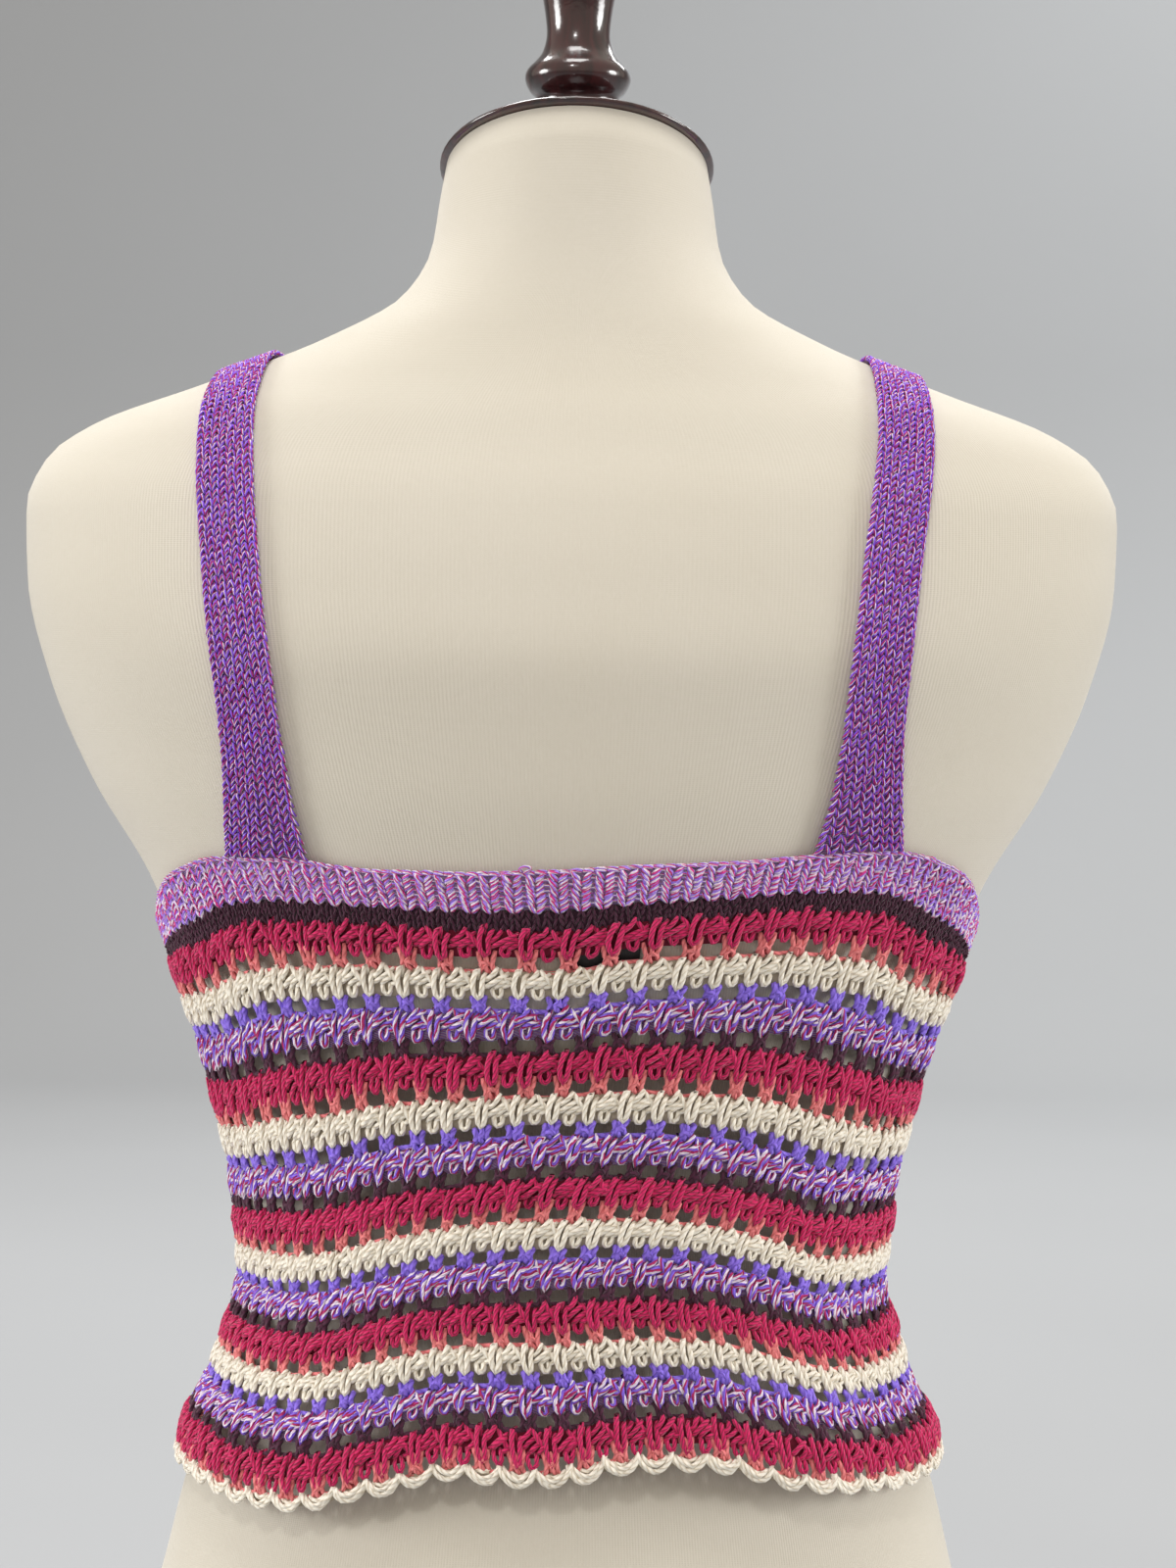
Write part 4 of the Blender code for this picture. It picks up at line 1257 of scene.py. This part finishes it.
def thick_row(radius: float, point: float, loose: float) -> Stitch:
    """The thick row: a tall loop with a thorn, a small loop, and strands braided between.

    Args:
        radius: of the yarn.
        point: how far the tall loop draws together below, from round at 0 to sharp at 1.
        loose: how far the stitches stray, where 1 is even knitting.

    Returns:
        The stitch, one repeat wide.
    """
    low = 0.10 - 0.03 * point
    tall = Strand(((0.02, 2.8, 1.3), (0.05, -1.5, 2.4), (-0.05, 1.2, 3.1), (-0.11, 4.4, 3.4),
                   (-low, 7.4, 3.2), (0.0, 9.2 + 0.7 * point, 2.8), (low, 7.5, 3.2),
                   (0.11, 4.8, 3.4), (0.15, 2.4, 2.8), (0.24, 0.7, 1.6)), radius, 12)
    small = Strand(((0.41, 4.9, 1.6), (0.375, 6.6, 2.6), (0.42, 8.4, 2.7), (0.50, 9.0, 2.4),
                    (0.58, 8.4, 2.7), (0.62, 6.6, 2.6), (0.58, 4.9, 1.6)), 0.92 * radius, 8)
    thorn = Strand(((0.15, 3.6, 2.1), (0.30, 2.3, 3.0), (0.44, 0.7, 2.9), (0.53, -1.2, 2.1)),
                   0.95 * radius, 6)
    long = Strand(((0.13, 5.5, 1.9), (0.31, 4.3, 3.0), (0.52, 2.7, 3.3), (0.70, 1.4, 2.5),
                   (0.82, 0.5, 1.6)), 0.95 * radius, 6)
    low_slant = Strand(((0.36, 6.0, 1.7), (0.50, 4.6, 3.0), (0.67, 3.4, 3.1), (0.84, 2.5, 2.2)),
                       0.95 * radius, 6)
    back_slant = Strand(((0.56, -0.5, 1.8), (0.67, 1.6, 2.8), (0.79, 3.5, 2.8), (0.88, 5.0, 1.9)),
                        0.95 * radius, 6)
    tuck = Strand(((0.60, 5.9, 1.7), (0.74, 5.1, 2.8), (0.89, 4.0, 2.0)), 0.9 * radius, 5)
    return Stitch((tall, small, thorn, long, low_slant, back_slant, tuck),
                  0.014 * loose, 0.00022 * loose, 0.00014 * loose)


def upright_row(radius: float, reach: float) -> Stitch:
    """An upright of the openwork: a waisted block of strands, and the float below.

    Args:
        radius: of the yarn.
        reach: how far its legs climb over the row above, in millimetres.

    Returns:
        The stitch, one repeat wide.
    """
    leg = Strand(((-0.23, -reach, 2.0), (-0.17, 0.6, 2.2), (-0.13, 2.6, 2.2), (-0.21, 5.3, 1.5)),
                 radius, 6)
    inner = Strand(((-0.06, -0.8 * reach, 2.3), (0.04, 1.4, 2.5), (-0.05, 3.2, 2.4),
                    (0.07, 5.4, 1.8)), radius, 6)
    wrap = Strand(((-0.14, 3.4, 1.5), (-0.04, 2.2, 2.8), (0.06, 2.5, 2.8), (0.14, 3.5, 1.5)),
                  0.85 * radius, 5)
    below = Strand(((0.06, 4.6, 1.2), (0.35, 5.0, 1.3), (0.65, 5.0, 1.3), (0.94, 4.6, 1.2)),
                   0.9 * radius, 5)
    return Stitch((leg, mirrored(leg), inner, wrap, below), 0.018, 0.00025, 0.00012)


def plain_stitch(radius: float, stray: float = 1.0, count: int = 4,
                 length: float = 1.9) -> Stitch:
    """A plain knit stitch: two legs that lean together.

    Args:
        radius: of the yarn.
        stray: how far the legs stray, where 1 is even knitting.
        count: points of each leg.
        length: of a leg, in courses.

    Returns:
        The stitch, one wale wide and one course high.
    """
    low = 0.5 - length / 2
    left = Strand(((-0.50, low, 1.0), (-0.37, low + 0.34 * length, 2.1),
                   (-0.18, low + 0.68 * length, 2.3), (-0.03, low + length, 1.4)), radius, count)
    return Stitch((left, mirrored(left)), 0.03 * stray, 0.00010 * stray, 0.00008 * stray)


def purl_stitch(radius: float) -> Stitch:
    """A purl bump: a short arch across the furrow between two ribs."""
    return Stitch((Strand(((-0.66, 0.55, 0.9), (-0.28, 0.05, 1.5), (0.28, 0.05, 1.5),
                           (0.66, 0.55, 0.9)), radius, 4),), 0.04, 0.00012, 0.00008)


def edging_stitch(radius: float) -> Stitch:
    """A scallop of the cream edging: two crossing cups and a small one inside them.

    Args:
        radius: of the yarn.

    Returns:
        The stitch, one repeat wide.
    """
    cup = Strand(((-0.53, -2.6, 2.1), (-0.46, 0.2, 2.7), (-0.29, 2.7, 3.0), (-0.03, 4.3, 2.3),
                  (0.22, 3.5, 2.6), (0.40, 1.2, 2.4), (0.50, -0.6, 1.6)), radius, 10)
    inner = Strand(((-0.42, -1.2, 1.8), (-0.30, 0.9, 2.8), (-0.12, 2.3, 3.2), (0.06, 2.6, 3.1),
                    (0.24, 1.3, 2.8), (0.38, -0.6, 1.6)), 0.92 * radius, 8)
    filler = Strand(((-0.26, -0.4, 1.4), (-0.10, 1.1, 2.0), (0.10, 1.2, 2.0),
                     (0.26, -0.4, 1.4)), 0.92 * radius, 5)
    return Stitch((cup, mirrored(cup), inner, filler), 0.018, 0.00025, 0.00014)


@dataclass
class Panel:
    """One openwork panel with its band: the ground sheets, darker than the yarns as painted shade
    between them, and all their yarns.

    `first` is the panel's first repeat, `flat_width` and `band_length` are the sheets' flat
    widths and are not used, and `snags` the places of small loops pulled out of the band's edge.
    """

    name: str
    first: int
    flat_width: float
    band_length: float
    snags: tuple[float, ...]
    cloth: Cloth
    palette: Palette
    rng: np.random.Generator
    rib_courses: int = 7
    plum_courses: int = 3
    seam_pitch: float = 0.0024
    drop: float = 1.10
    last_drop: float = 1.32
    thick_units: float = 9.4
    open_units: float = 5.0
    flat_height: float = 0.196
    yarn_share: float = 0.82
    edge_inset: float = 0.02
    ground_wall: float = 0.0007
    ground_columns: int = 4
    ground_out: float = 0.0009
    band_out: float = 0.0008
    map_scale: tuple[float, float] = (11.0, 1000.0)
    band_chain: float = 0.0012
    loose_end_up: float = 0.0160

    def places(self, shift: float) -> Array:
        """Places of a row's stitches, one a repeat, shifted by part of a repeat."""
        return self.first + np.arange(self.cloth.knit.repeats) + shift

    def ends(self) -> tuple[float, float]:
        """The panel's two edges in repeats, a little inside its seams."""
        return (self.first + self.edge_inset,
                self.first + self.cloth.knit.repeats - self.edge_inset)

    def build_rows(self) -> list[bpy.types.Object]:
        """Lays the thick rows, the openwork rows, the edging and the first plum row.

        Returns:
            One piece for each tone.
        """
        yarns = {tone: Yarns() for tone in Tone}
        thick = {Tone.CRIMSON: thick_row(0.00096, 0.3, 1.9),
                 Tone.CREAM: thick_row(0.00098, 0.2, 1.0),
                 Tone.MARL: thick_row(0.00100, 1.0, 1.3)}
        open_rows = {Tone.CORAL: upright_row(0.00094, 2.4), Tone.VIOLET: upright_row(0.00112, 0.7),
                     Tone.PLUM: upright_row(0.00108, 0.9)}
        knit = self.cloth.knit
        rows = knit.rows()
        for tone, down, height, shift in rows:
            stitch = thick.get(tone) or open_rows[tone]
            size = self.thick_units if tone in thick else self.open_units
            if tone is Tone.CRIMSON:
                size /= self.last_drop if down == rows[-2][1] else self.drop
            stitch.lay(yarns[tone], self.cloth, self.places(shift), down,
                       height / size, self.rng)
        down = knit.row_knots()[-1] - knit.hem
        edging_stitch(0.00094).lay(yarns[Tone.CREAM], self.cloth, self.places(0.0), down,
                                   1 / MILLI, self.rng)
        wales = knit.repeats * knit.ribs_per_repeat * 2
        width = knit.repeats / wales
        places = self.first + (np.arange(wales) + 0.5) * width
        course = knit.first_plum / self.plum_courses
        for k in range(self.plum_courses):
            plain_stitch(0.00056, 2.2, 3).lay(
                yarns[Tone.PLUM], self.cloth, places, knit.band + knit.seam + k * course,
                course, self.rng, width)
        return [dress(made.build(f"{self.name}_{tone.value}_yarn", self.palette.yarn[tone])) for tone, made in yarns.items()]

    def build_ground(self, yarns: Sequence[bpy.types.Object]) -> bpy.types.Object:
        """Makes the sheet behind the yarns, open between the uprights.

        The sheet is a grid over the rows and a quarter of a repeat.  A face of an openwork
        row is kept only where an upright stands, and each row has its own tone, darker than its
        yarns as painted shade between the stitches.

        Args:
            yarns: the pieces that lie on the sheet; not used.

        Returns:
            The sheet.
        """
        knit = self.cloth.knit
        rows = [(Tone.PLUM, knit.band + knit.seam, knit.first_plum, 0.0)] + knit.rows()
        rows.append((Tone.CREAM, knit.row_knots()[-1] - knit.hem, knit.hem * 0.55, 0.0))
        downs = [rows[0][1]]
        kinds = []
        for tone, down, height, shift in rows:
            opens = tone in (Tone.CORAL, Tone.VIOLET) or (tone is Tone.PLUM
                                                          and down > rows[0][1])
            cuts = 1 if opens else 3
            downs += [down + height * (k + 1) / cuts for k in range(cuts)]
            kinds += [(tone, opens, shift)] * cuts
        columns = knit.repeats * self.ground_columns
        places = self.first + (np.arange(columns + 1) + 0.5) / self.ground_columns
        places = np.clip(places - 1 / self.ground_columns, *self.ends())
        down_grid, place_grid = np.meshgrid(downs, places, indexing="ij")
        points, _ = self.cloth.at(place_grid, down_grid,
                                  np.full(place_grid.shape, self.ground_out))
        k = np.arange(columns)
        quads = grid_quads(len(downs), len(places)).reshape(len(kinds), columns, 4)
        kept = np.ones(quads.shape[:2], bool)
        slots = np.zeros(quads.shape[:2], int)
        tones = list(Tone)
        for row, (tone, opens, shift) in enumerate(kinds):
            slots[row] = tones.index(tone)
            if opens:
                kept[row] = np.mod(k - round(shift * self.ground_columns),
                                   self.ground_columns) == 0
        flat_uv = np.stack([place_grid * self.map_scale[0], down_grid * self.map_scale[1]],
                           -1).reshape(-1, 2)
        chosen = quads[kept]
        used, renumbered = np.unique(chosen, return_inverse=True)
        piece = mesh_object(f"{self.name}_ground", points.reshape(-1, 3)[used],
                            [renumbered.reshape(-1, 4)], flat_uv[chosen.ravel()],
                            [self.palette.ground[tone] for tone in tones], slots[kept])
        thicken(piece, self.ground_wall)
        dress(piece, f"{self.name}_panel")
        return piece

    def build_seam(self) -> bpy.types.Object:
        """Oversews the panel's last side with violet yarn, and leaves one loose end.

        The stitches are short slanting strands across the seam.

        Returns:
            The seam's piece.
        """
        knit = self.cloth.knit
        yarns = Yarns()
        count = round((knit.row_knots()[-1] - knit.band) / self.seam_pitch)
        downs = knit.band + np.arange(count) * self.seam_pitch
        side = self.first + knit.repeats
        over = Strand(((-0.20, 1.6, 0.9), (-0.08, 0.9, 2.6), (0.08, -0.1, 2.7), (0.20, -0.8, 0.9)),
                      0.00060, 5)
        Stitch((over,), 0.03, 0.0003, 0.00015).lay(
            yarns, self.cloth, np.full(count, float(side)), downs, 1 / MILLI, self.rng)
        end = Strand(((0.02, -4.0, 1.6), (-0.10, 1.5, 3.4), (0.06, 6.0, 3.0), (-0.14, 10.0, 2.4),
                      (-0.05, 13.5, 2.9), (-0.22, 16.5, 2.2)), 0.00042, 18)
        Stitch((end,)).lay(yarns, self.cloth, np.array([float(side)]),
                           knit.row_knots()[-1] - self.loose_end_up, 1 / MILLI, self.rng)
        return dress(yarns.build(f"{self.name}_side_seam_yarn",
                                 self.palette.yarn[Tone.VIOLET]))

    def build_band(self) -> None:
        """Lays the ribbed band: plain wales, purl furrows, a chain edge and its sheet."""
        knit = self.cloth.knit
        ribs = knit.repeats * knit.ribs_per_repeat
        width = knit.repeats / ribs
        ridge = self.first + (np.arange(ribs) + 0.5) * width
        furrow = self.first + np.arange(1, ribs) * width
        course = (knit.band - self.band_chain) / self.rib_courses
        yarns = Yarns(sides=4)
        for k in range(self.rib_courses):
            down = self.band_chain + k * course
            plain_stitch(0.00084).lay(yarns, self.cloth, ridge, down, course, self.rng,
                                      width * 0.84)
            purl_stitch(0.00055).lay(yarns, self.cloth, furrow, down, course, self.rng,
                                     width * 0.30)
        chain = Stitch((Strand(((-0.55, 0.9, 1.1), (-0.1, 0.35, 1.9), (0.35, 0.5, 1.9),
                                (0.6, 0.9, 1.1)), 0.00052, 5),
                        Strand(((-0.55, 0.2, 0.9), (-0.1, -0.3, 1.5), (0.35, -0.2, 1.5),
                                (0.6, 0.2, 0.9)), 0.00052, 5)), 0.03, 0.0001, 0.00008)
        links = self.first + (np.arange(2 * ribs) + 0.5) * width / 2
        chain.lay(yarns, self.cloth, links, 0.0, 1 / MILLI, self.rng, width * 0.5)
        if self.snags:
            snag = Strand(((-0.09, 0.3, 1.3), (-0.12, -1.3, 2.3), (0.0, -2.3, 2.7),
                           (0.11, -1.2, 2.2), (0.02, -0.2, 2.6), (-0.06, 0.4, 1.2)), 0.00055, 12)
            Stitch((snag,)).lay(yarns, self.cloth, np.array(self.snags), 0.0, 1 / MILLI,
                                self.rng)
        knitted = dress(yarns.build(f"{self.name}_band_yarn", self.palette.band))
        places = np.linspace(*self.ends(), knit.repeats * self.ground_columns + 1)
        downs = np.linspace(0.0006, knit.band - 0.0004, 5)
        # The band's sheet takes the darkened marl: painted shade between its stitches
        sheet = sheet_on(f"{self.name}_band_ground", self.cloth, places, downs, self.band_out,
                         self.map_scale, self.palette.ground[Tone.MARL])
        thicken(sheet, self.ground_wall)
        dress(sheet, f"band_{self.name}")

    def build(self) -> None:
        """Builds the panel and its band."""
        self.build_ground(self.build_rows() + [self.build_seam()])
        self.build_band()


@dataclass
class ShoulderStrap:
    """A knitted strap over one shoulder: plain knit wales on a sheet.

    `side` is 1 where the strap lies at positive X and -1 at negative X, and `stations` are
    the rows of LEFT_STRAP or RIGHT_STRAP.
    """

    name: str
    side: float
    cloth: Cloth
    palette: Palette
    rng: np.random.Generator
    stations: tuple[tuple[float, ...], ...]
    rest: float = 0.0006
    wales: int = 7
    course: float = 0.0028
    centre_height: float = 0.500
    centre_depth: float = 0.008
    farthest: float = 0.2
    slope_step: float = 0.002
    back_radius: float = 0.095
    rows: int = 120
    columns: int = 9
    halvings: int = 36
    sheet_rows: int = 90
    sheet_columns: int = 7
    sheet_share: float = 0.93
    sheet_wall: float = 0.0008
    sheet_out: float = 0.0004
    flat_width: float = 0.0186
    map_across: float = 9.0
    points: Array = field(init=False)
    normals: Array = field(init=False)

    def surface(self, across: Array, turn: Array) -> Array:
        """Where rays from the middle of the shoulder leave the form, by halving.

        Args:
            across: places from side to side.
            turn: angles about the shoulder's middle, in the same shape.

        Returns:
            The points.
        """
        figure = self.cloth.figure
        near = np.zeros(across.shape)
        far = np.full(across.shape, self.farthest)
        for _ in range(self.halvings):
            middle = (near + far) / 2
            y = self.centre_depth + middle * np.cos(turn)
            z = self.centre_height + middle * np.sin(turn)
            from_centre = y - figure.centre(z)
            inside = np.hypot(across, from_centre) < figure.radius(
                z, np.arctan2(from_centre, across))
            near = np.where(inside, middle, near)
            far = np.where(inside, far, middle)
        return np.stack([across, y, z], axis=-1)

    def slope(self, across: Array, turn: Array) -> tuple[Array, Array]:
        """Points of the shoulder, and normals as the cross product of its two slopes.

        Args:
            across: places from side to side.
            turn: angles about the shoulder's middle, in the same shape.

        Returns:
            The points and the outward normals.
        """
        here = self.surface(across, turn)
        tilt = self.slope_step / self.back_radius
        along = self.surface(across, turn + tilt) - self.surface(across, turn - tilt)
        aside = (self.surface(across + self.slope_step, turn)
                 - self.surface(across - self.slope_step, turn))
        normal = np.cross(aside, along)
        normal /= np.linalg.norm(normal, axis=-1, keepdims=True)
        outward = here - np.array([0.0, self.centre_depth, self.centre_height])
        outward[..., 0] = 0.0
        return here, normal * np.sign(np.sum(normal * outward, axis=-1, keepdims=True))

    def end_turn(self, across: Array, front: bool) -> Array:
        """Angles about the shoulder at which the strap meets the band's top edge.

        Args:
            across: places from side to side.
            front: whether it is the front band.

        Returns:
            An angle for each place.
        """
        knit = self.cloth.knit
        angle = np.radians(np.linspace(181, 359, 357) if front else np.linspace(1, 179, 357))
        edge = self.cloth.raw_points(np.zeros(1), angle, knit.wall / 2)
        order = np.argsort(edge[:, 0])
        goal = np.interp(across, edge[order, 0], edge[order, 2]) + knit.seam
        turn = np.radians(np.linspace(225, 150, 61) if front else np.linspace(-60, 20, 61))
        lift = self.cloth.drape.clearance + knit.wall / 2
        found = []
        for one, level in zip(across, goal):
            here, normal = self.slope(np.full(turn.size, one), turn)
            found.append(np.interp(level, (here + normal * lift)[:, 2], turn))
        return np.array(found)

    def lay_out(self) -> None:
        """Works out the strap's grid of points and normals, along it and across.

        The rows are first even in their turn about the shoulder, and are then moved until
        they are even in their distance along the strap.
        """
        rows = np.array(self.stations)
        even = np.linspace(0.0, 1.0, self.rows)
        along = even
        share = np.linspace(-1.0, 1.0, self.columns)
        for _ in range(3):
            middle, inner, outer = (smooth_read(rows[:, 0], rows[:, k:k + 1], along)
                                    for k in (1, 2, 3))
            reach = np.where(share[None] > 0, outer[:, None], inner[:, None])
            across = self.side * (middle[:, None] + share[None] * reach)
            start = self.end_turn(across[0], False)
            finish = self.end_turn(across[-1], True)
            turn = start[None] + (finish - start)[None] * along[:, None]
            here, self.normals = self.slope(across, turn)
            lift = self.rest + (self.cloth.drape.clearance - self.rest) * np.abs(
                2 * along - 1) ** 3
            steps = np.linalg.norm(np.diff(here[:, self.columns // 2], axis=0), axis=1)
            travelled = np.concatenate([[0.0], np.cumsum(steps)]) / np.sum(steps)
            along = np.interp(even, travelled, along)
        self.points = here + self.normals * lift[:, None, None]

    def at(self, place: Array, along: Array, out: Array) -> tuple[Array, Array]:
        """Reads the strap's grid between its points.

        Args:
            place: places across, from -1 to 1.
            along: shares of the strap's length, from 0 to 1.
            out: distances out from the inside of the strap.

        Returns:
            The points and the outward normals.
        """
        across = np.clip((place + 1) / 2 * (self.columns - 1), 0, self.columns - 1.001)
        level = np.clip(along * (self.rows - 1), 0, self.rows - 1.001)
        return read_grid(self.points, self.normals, across, level, out)

    def build(self) -> None:
        """Lays the strap's stitches over its sheet, in place of its solid."""
        self.lay_out()
        middle = self.points[:, self.columns // 2]
        length = float(np.linalg.norm(np.diff(middle, axis=0), axis=1).sum())
        courses = round(length / self.course)
        yarns = Yarns(sides=4, flatness=0.9)
        stitch = plain_stitch(0.00064, 0.8, 4, 1.38)
        places, downs = np.meshgrid((np.arange(self.wales) + 0.5) / self.wales * 2 - 1,
                                    1 - (np.arange(courses) + 1.0) / courses)
        stitch.lay(yarns, self, places.ravel(), downs.ravel(), 1 / courses, self.rng,
                   2 / self.wales)
        knitted = dress(yarns.build(f"{self.name}_yarn", self.palette.strap))
        # The strap's sheet takes the darkened marl: painted shade between its stitches
        sheet = sheet_on(f"{self.name}_ground", self,
                         np.linspace(-self.sheet_share, self.sheet_share, self.sheet_columns),
                         np.linspace(0, 1, self.sheet_rows), self.sheet_out,
                         (self.map_across, length * MILLI), self.palette.ground[Tone.MARL],
                         self.side < 0)
        thicken(sheet, self.sheet_wall)
        dress(sheet, self.name)


@dataclass(frozen=True)
class Lamp:
    """A soft lamp turned to its target: a square, or a faded round cone if it has an angle."""

    name: str
    place: Triple
    target: Triple
    size: float
    power: float
    colour: Triple = (1.0, 1.0, 0.99)
    cone: float = 0.0

    def hang(self) -> None:
        """Adds the lamp to the scene."""
        data = bpy.data.lights.new(self.name, "SPOT" if self.cone else "AREA")
        if self.cone:
            data.shadow_soft_size = self.size
            data.spot_size = math.radians(self.cone)
            data.spot_blend = 1.0
        else:
            data.size = self.size
        data.energy = self.power
        data.color = self.colour
        lamp = bpy.data.objects.new(self.name, data)
        lamp.location = self.place
        away = np.array(self.place) - np.array(self.target)
        lamp.rotation_euler = (math.atan2(math.hypot(away[0], away[1]), away[2]), 0.0,
                               math.atan2(away[1], away[0]) + math.pi / 2)
        bpy.context.scene.collection.objects.link(lamp)


@dataclass(frozen=True)
class Stage:
    """Floor, backdrop, lamps and camera.

    The camera stands where the photograph was taken: level, behind the figure and turned
    slightly about its own line of sight.
    """

    camera_place: Triple = (-0.0069, 1.238, 0.441)
    camera_roll: float = -0.76
    lens: float = 80.0
    sensor: float = 36.0
    wall: float = -5.0
    bend_radius: float = 1.2
    floor_end: float = 7.0
    wall_top: float = 7.0
    half_width: float = 9.0
    room_colour: Triple = (1.0, 0.91, 0.80)
    room_strength: float = 0.60
    lamps: tuple[Lamp, ...] = (
        Lamp("key", (0.40, 1.75, 1.85), (0.0, 0.05, 0.35), 0.22, 7.0, (1.0, 0.98, 0.96)),
        Lamp("above", (0.10, 0.30, 2.60), (0.0, 0.0, 0.4), 0.9, 19.0),
        Lamp("left", (2.9, 0.50, 0.85), (0.0, 0.0, 0.30), 0.6, 200.0, cone=44.0),
        Lamp("right", (-2.9, 0.50, 0.85), (0.0, 0.0, 0.30), 0.6, 200.0, cone=44.0),
        Lamp("floor_light", (0.3, -1.7, 2.60), (0.2, -1.9, 0.0), 1.2, 45.0, (1.0, 1.0, 1.0)),
        Lamp("backdrop_light", (-2.3, -3.2, 3.2), (-0.9, -5.0, -0.6), 1.6, 80.0,
             (0.98, 1.0, 1.0)),
    )

    def build(self, material: bpy.types.Material) -> None:
        """Makes the swept backdrop, the lamps, the room's soft light and the camera.

        Args:
            material: of the floor and the backdrop.
        """
        self.backdrop(material)
        for lamp in self.lamps:
            lamp.hang()
        scene = bpy.context.scene
        scene.world = bpy.data.worlds.new("soft_room")
        scene.world.use_nodes = True
        room = scene.world.node_tree.nodes["Background"]
        room.inputs["Color"].default_value = (*self.room_colour, 1.0)
        room.inputs["Strength"].default_value = self.room_strength
        scene.view_settings.view_transform = "Standard"
        data = bpy.data.cameras.new("camera")
        data.lens = self.lens
        data.sensor_width = self.sensor
        camera = bpy.data.objects.new("camera", data)
        camera.location = self.camera_place
        camera.rotation_euler = (math.radians(90), math.radians(self.camera_roll),
                                 math.radians(180))
        scene.collection.objects.link(camera)
        scene.camera = camera

    def backdrop(self, material: bpy.types.Material) -> None:
        """Sweeps the floor up into the wall: a line, a quarter circle and a line.

        Args:
            material: of the floor and the wall.
        """
        bend = np.linspace(0, math.pi / 2, 25)
        radius = self.bend_radius
        curve = np.stack([self.wall + radius - radius * np.sin(bend),
                          radius - radius * np.cos(bend)], -1)
        run = np.concatenate([[[self.floor_end, 0.0]], curve, [[self.wall, self.wall_top]]])
        points = np.array([[(side, y, z) for side in (-self.half_width, self.half_width)]
                           for y, z in run])
        mesh_object("backdrop", points.reshape(-1, 3), [grid_quads(len(run), 2)],
                             None, [material])


# Share along the strap, its middle line, and its half widths towards the neck and the arm
LEFT_STRAP = ((0.00, 0.1010, 0.0170, 0.0110), (0.04, 0.1020, 0.0118, 0.0104),
              (0.09, 0.1045, 0.0098, 0.0096), (0.20, 0.1110, 0.0093, 0.0093),
              (0.38, 0.1165, 0.0093, 0.0093), (0.52, 0.1130, 0.0092, 0.0092),
              (0.70, 0.1080, 0.0093, 0.0093), (0.92, 0.0980, 0.0098, 0.0096),
              (0.97, 0.0960, 0.0118, 0.0104), (1.00, 0.0950, 0.0170, 0.0110))
RIGHT_STRAP = ((0.00, 0.0985, 0.0180, 0.0120), (0.04, 0.0990, 0.0120, 0.0106),
               (0.09, 0.1005, 0.0098, 0.0096), (0.20, 0.1055, 0.0093, 0.0093),
               (0.38, 0.1125, 0.0093, 0.0093), (0.52, 0.1110, 0.0092, 0.0092),
               (0.70, 0.1065, 0.0093, 0.0093), (0.92, 0.0970, 0.0098, 0.0096),
               (0.97, 0.0955, 0.0118, 0.0104), (1.00, 0.0950, 0.0170, 0.0110))


def refinish(node_name: str, material: bpy.types.Material) -> None:
    """Gives a solid that stays visible its finish.

    Args:
        node_name: of the solid.
        material: its finish.
    """
    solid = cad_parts[node_name]
    solid.data.materials.clear()
    solid.data.materials.append(material)


def main() -> None:
    logging.basicConfig(level=logging.INFO, format="%(message)s")
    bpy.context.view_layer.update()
    palette = Palette()
    Stage().build(palette.stage)
    figure = Figure()
    cloth = Cloth(figure, Knit(), Drape())
    rng = np.random.default_rng(SEED)
    Torso(figure).build(palette.jersey)
    NeckWood(figure).build(palette.wood)
    refinish("base_board", palette.wood)
    refinish("label_back", palette.satin)
    LOG.info("form done")
    for name, first, flat_width, band_length, snags in (
            ("back", 0, 0.372, 0.385, (15.1,)),
            ("front", cloth.knit.repeats, 0.392, 0.415, ())):
        Panel(name, first, flat_width, band_length, snags, cloth, palette, rng).build()
        LOG.info("%s panel done", name)
    for name, side, stations in (("strap_left", 1.0, LEFT_STRAP),
                                 ("strap_right", -1.0, RIGHT_STRAP)):
        ShoulderStrap(name, side, cloth, palette, rng, stations).build()
        LOG.info("%s done", name)


if __name__ == "__main__":
    main()
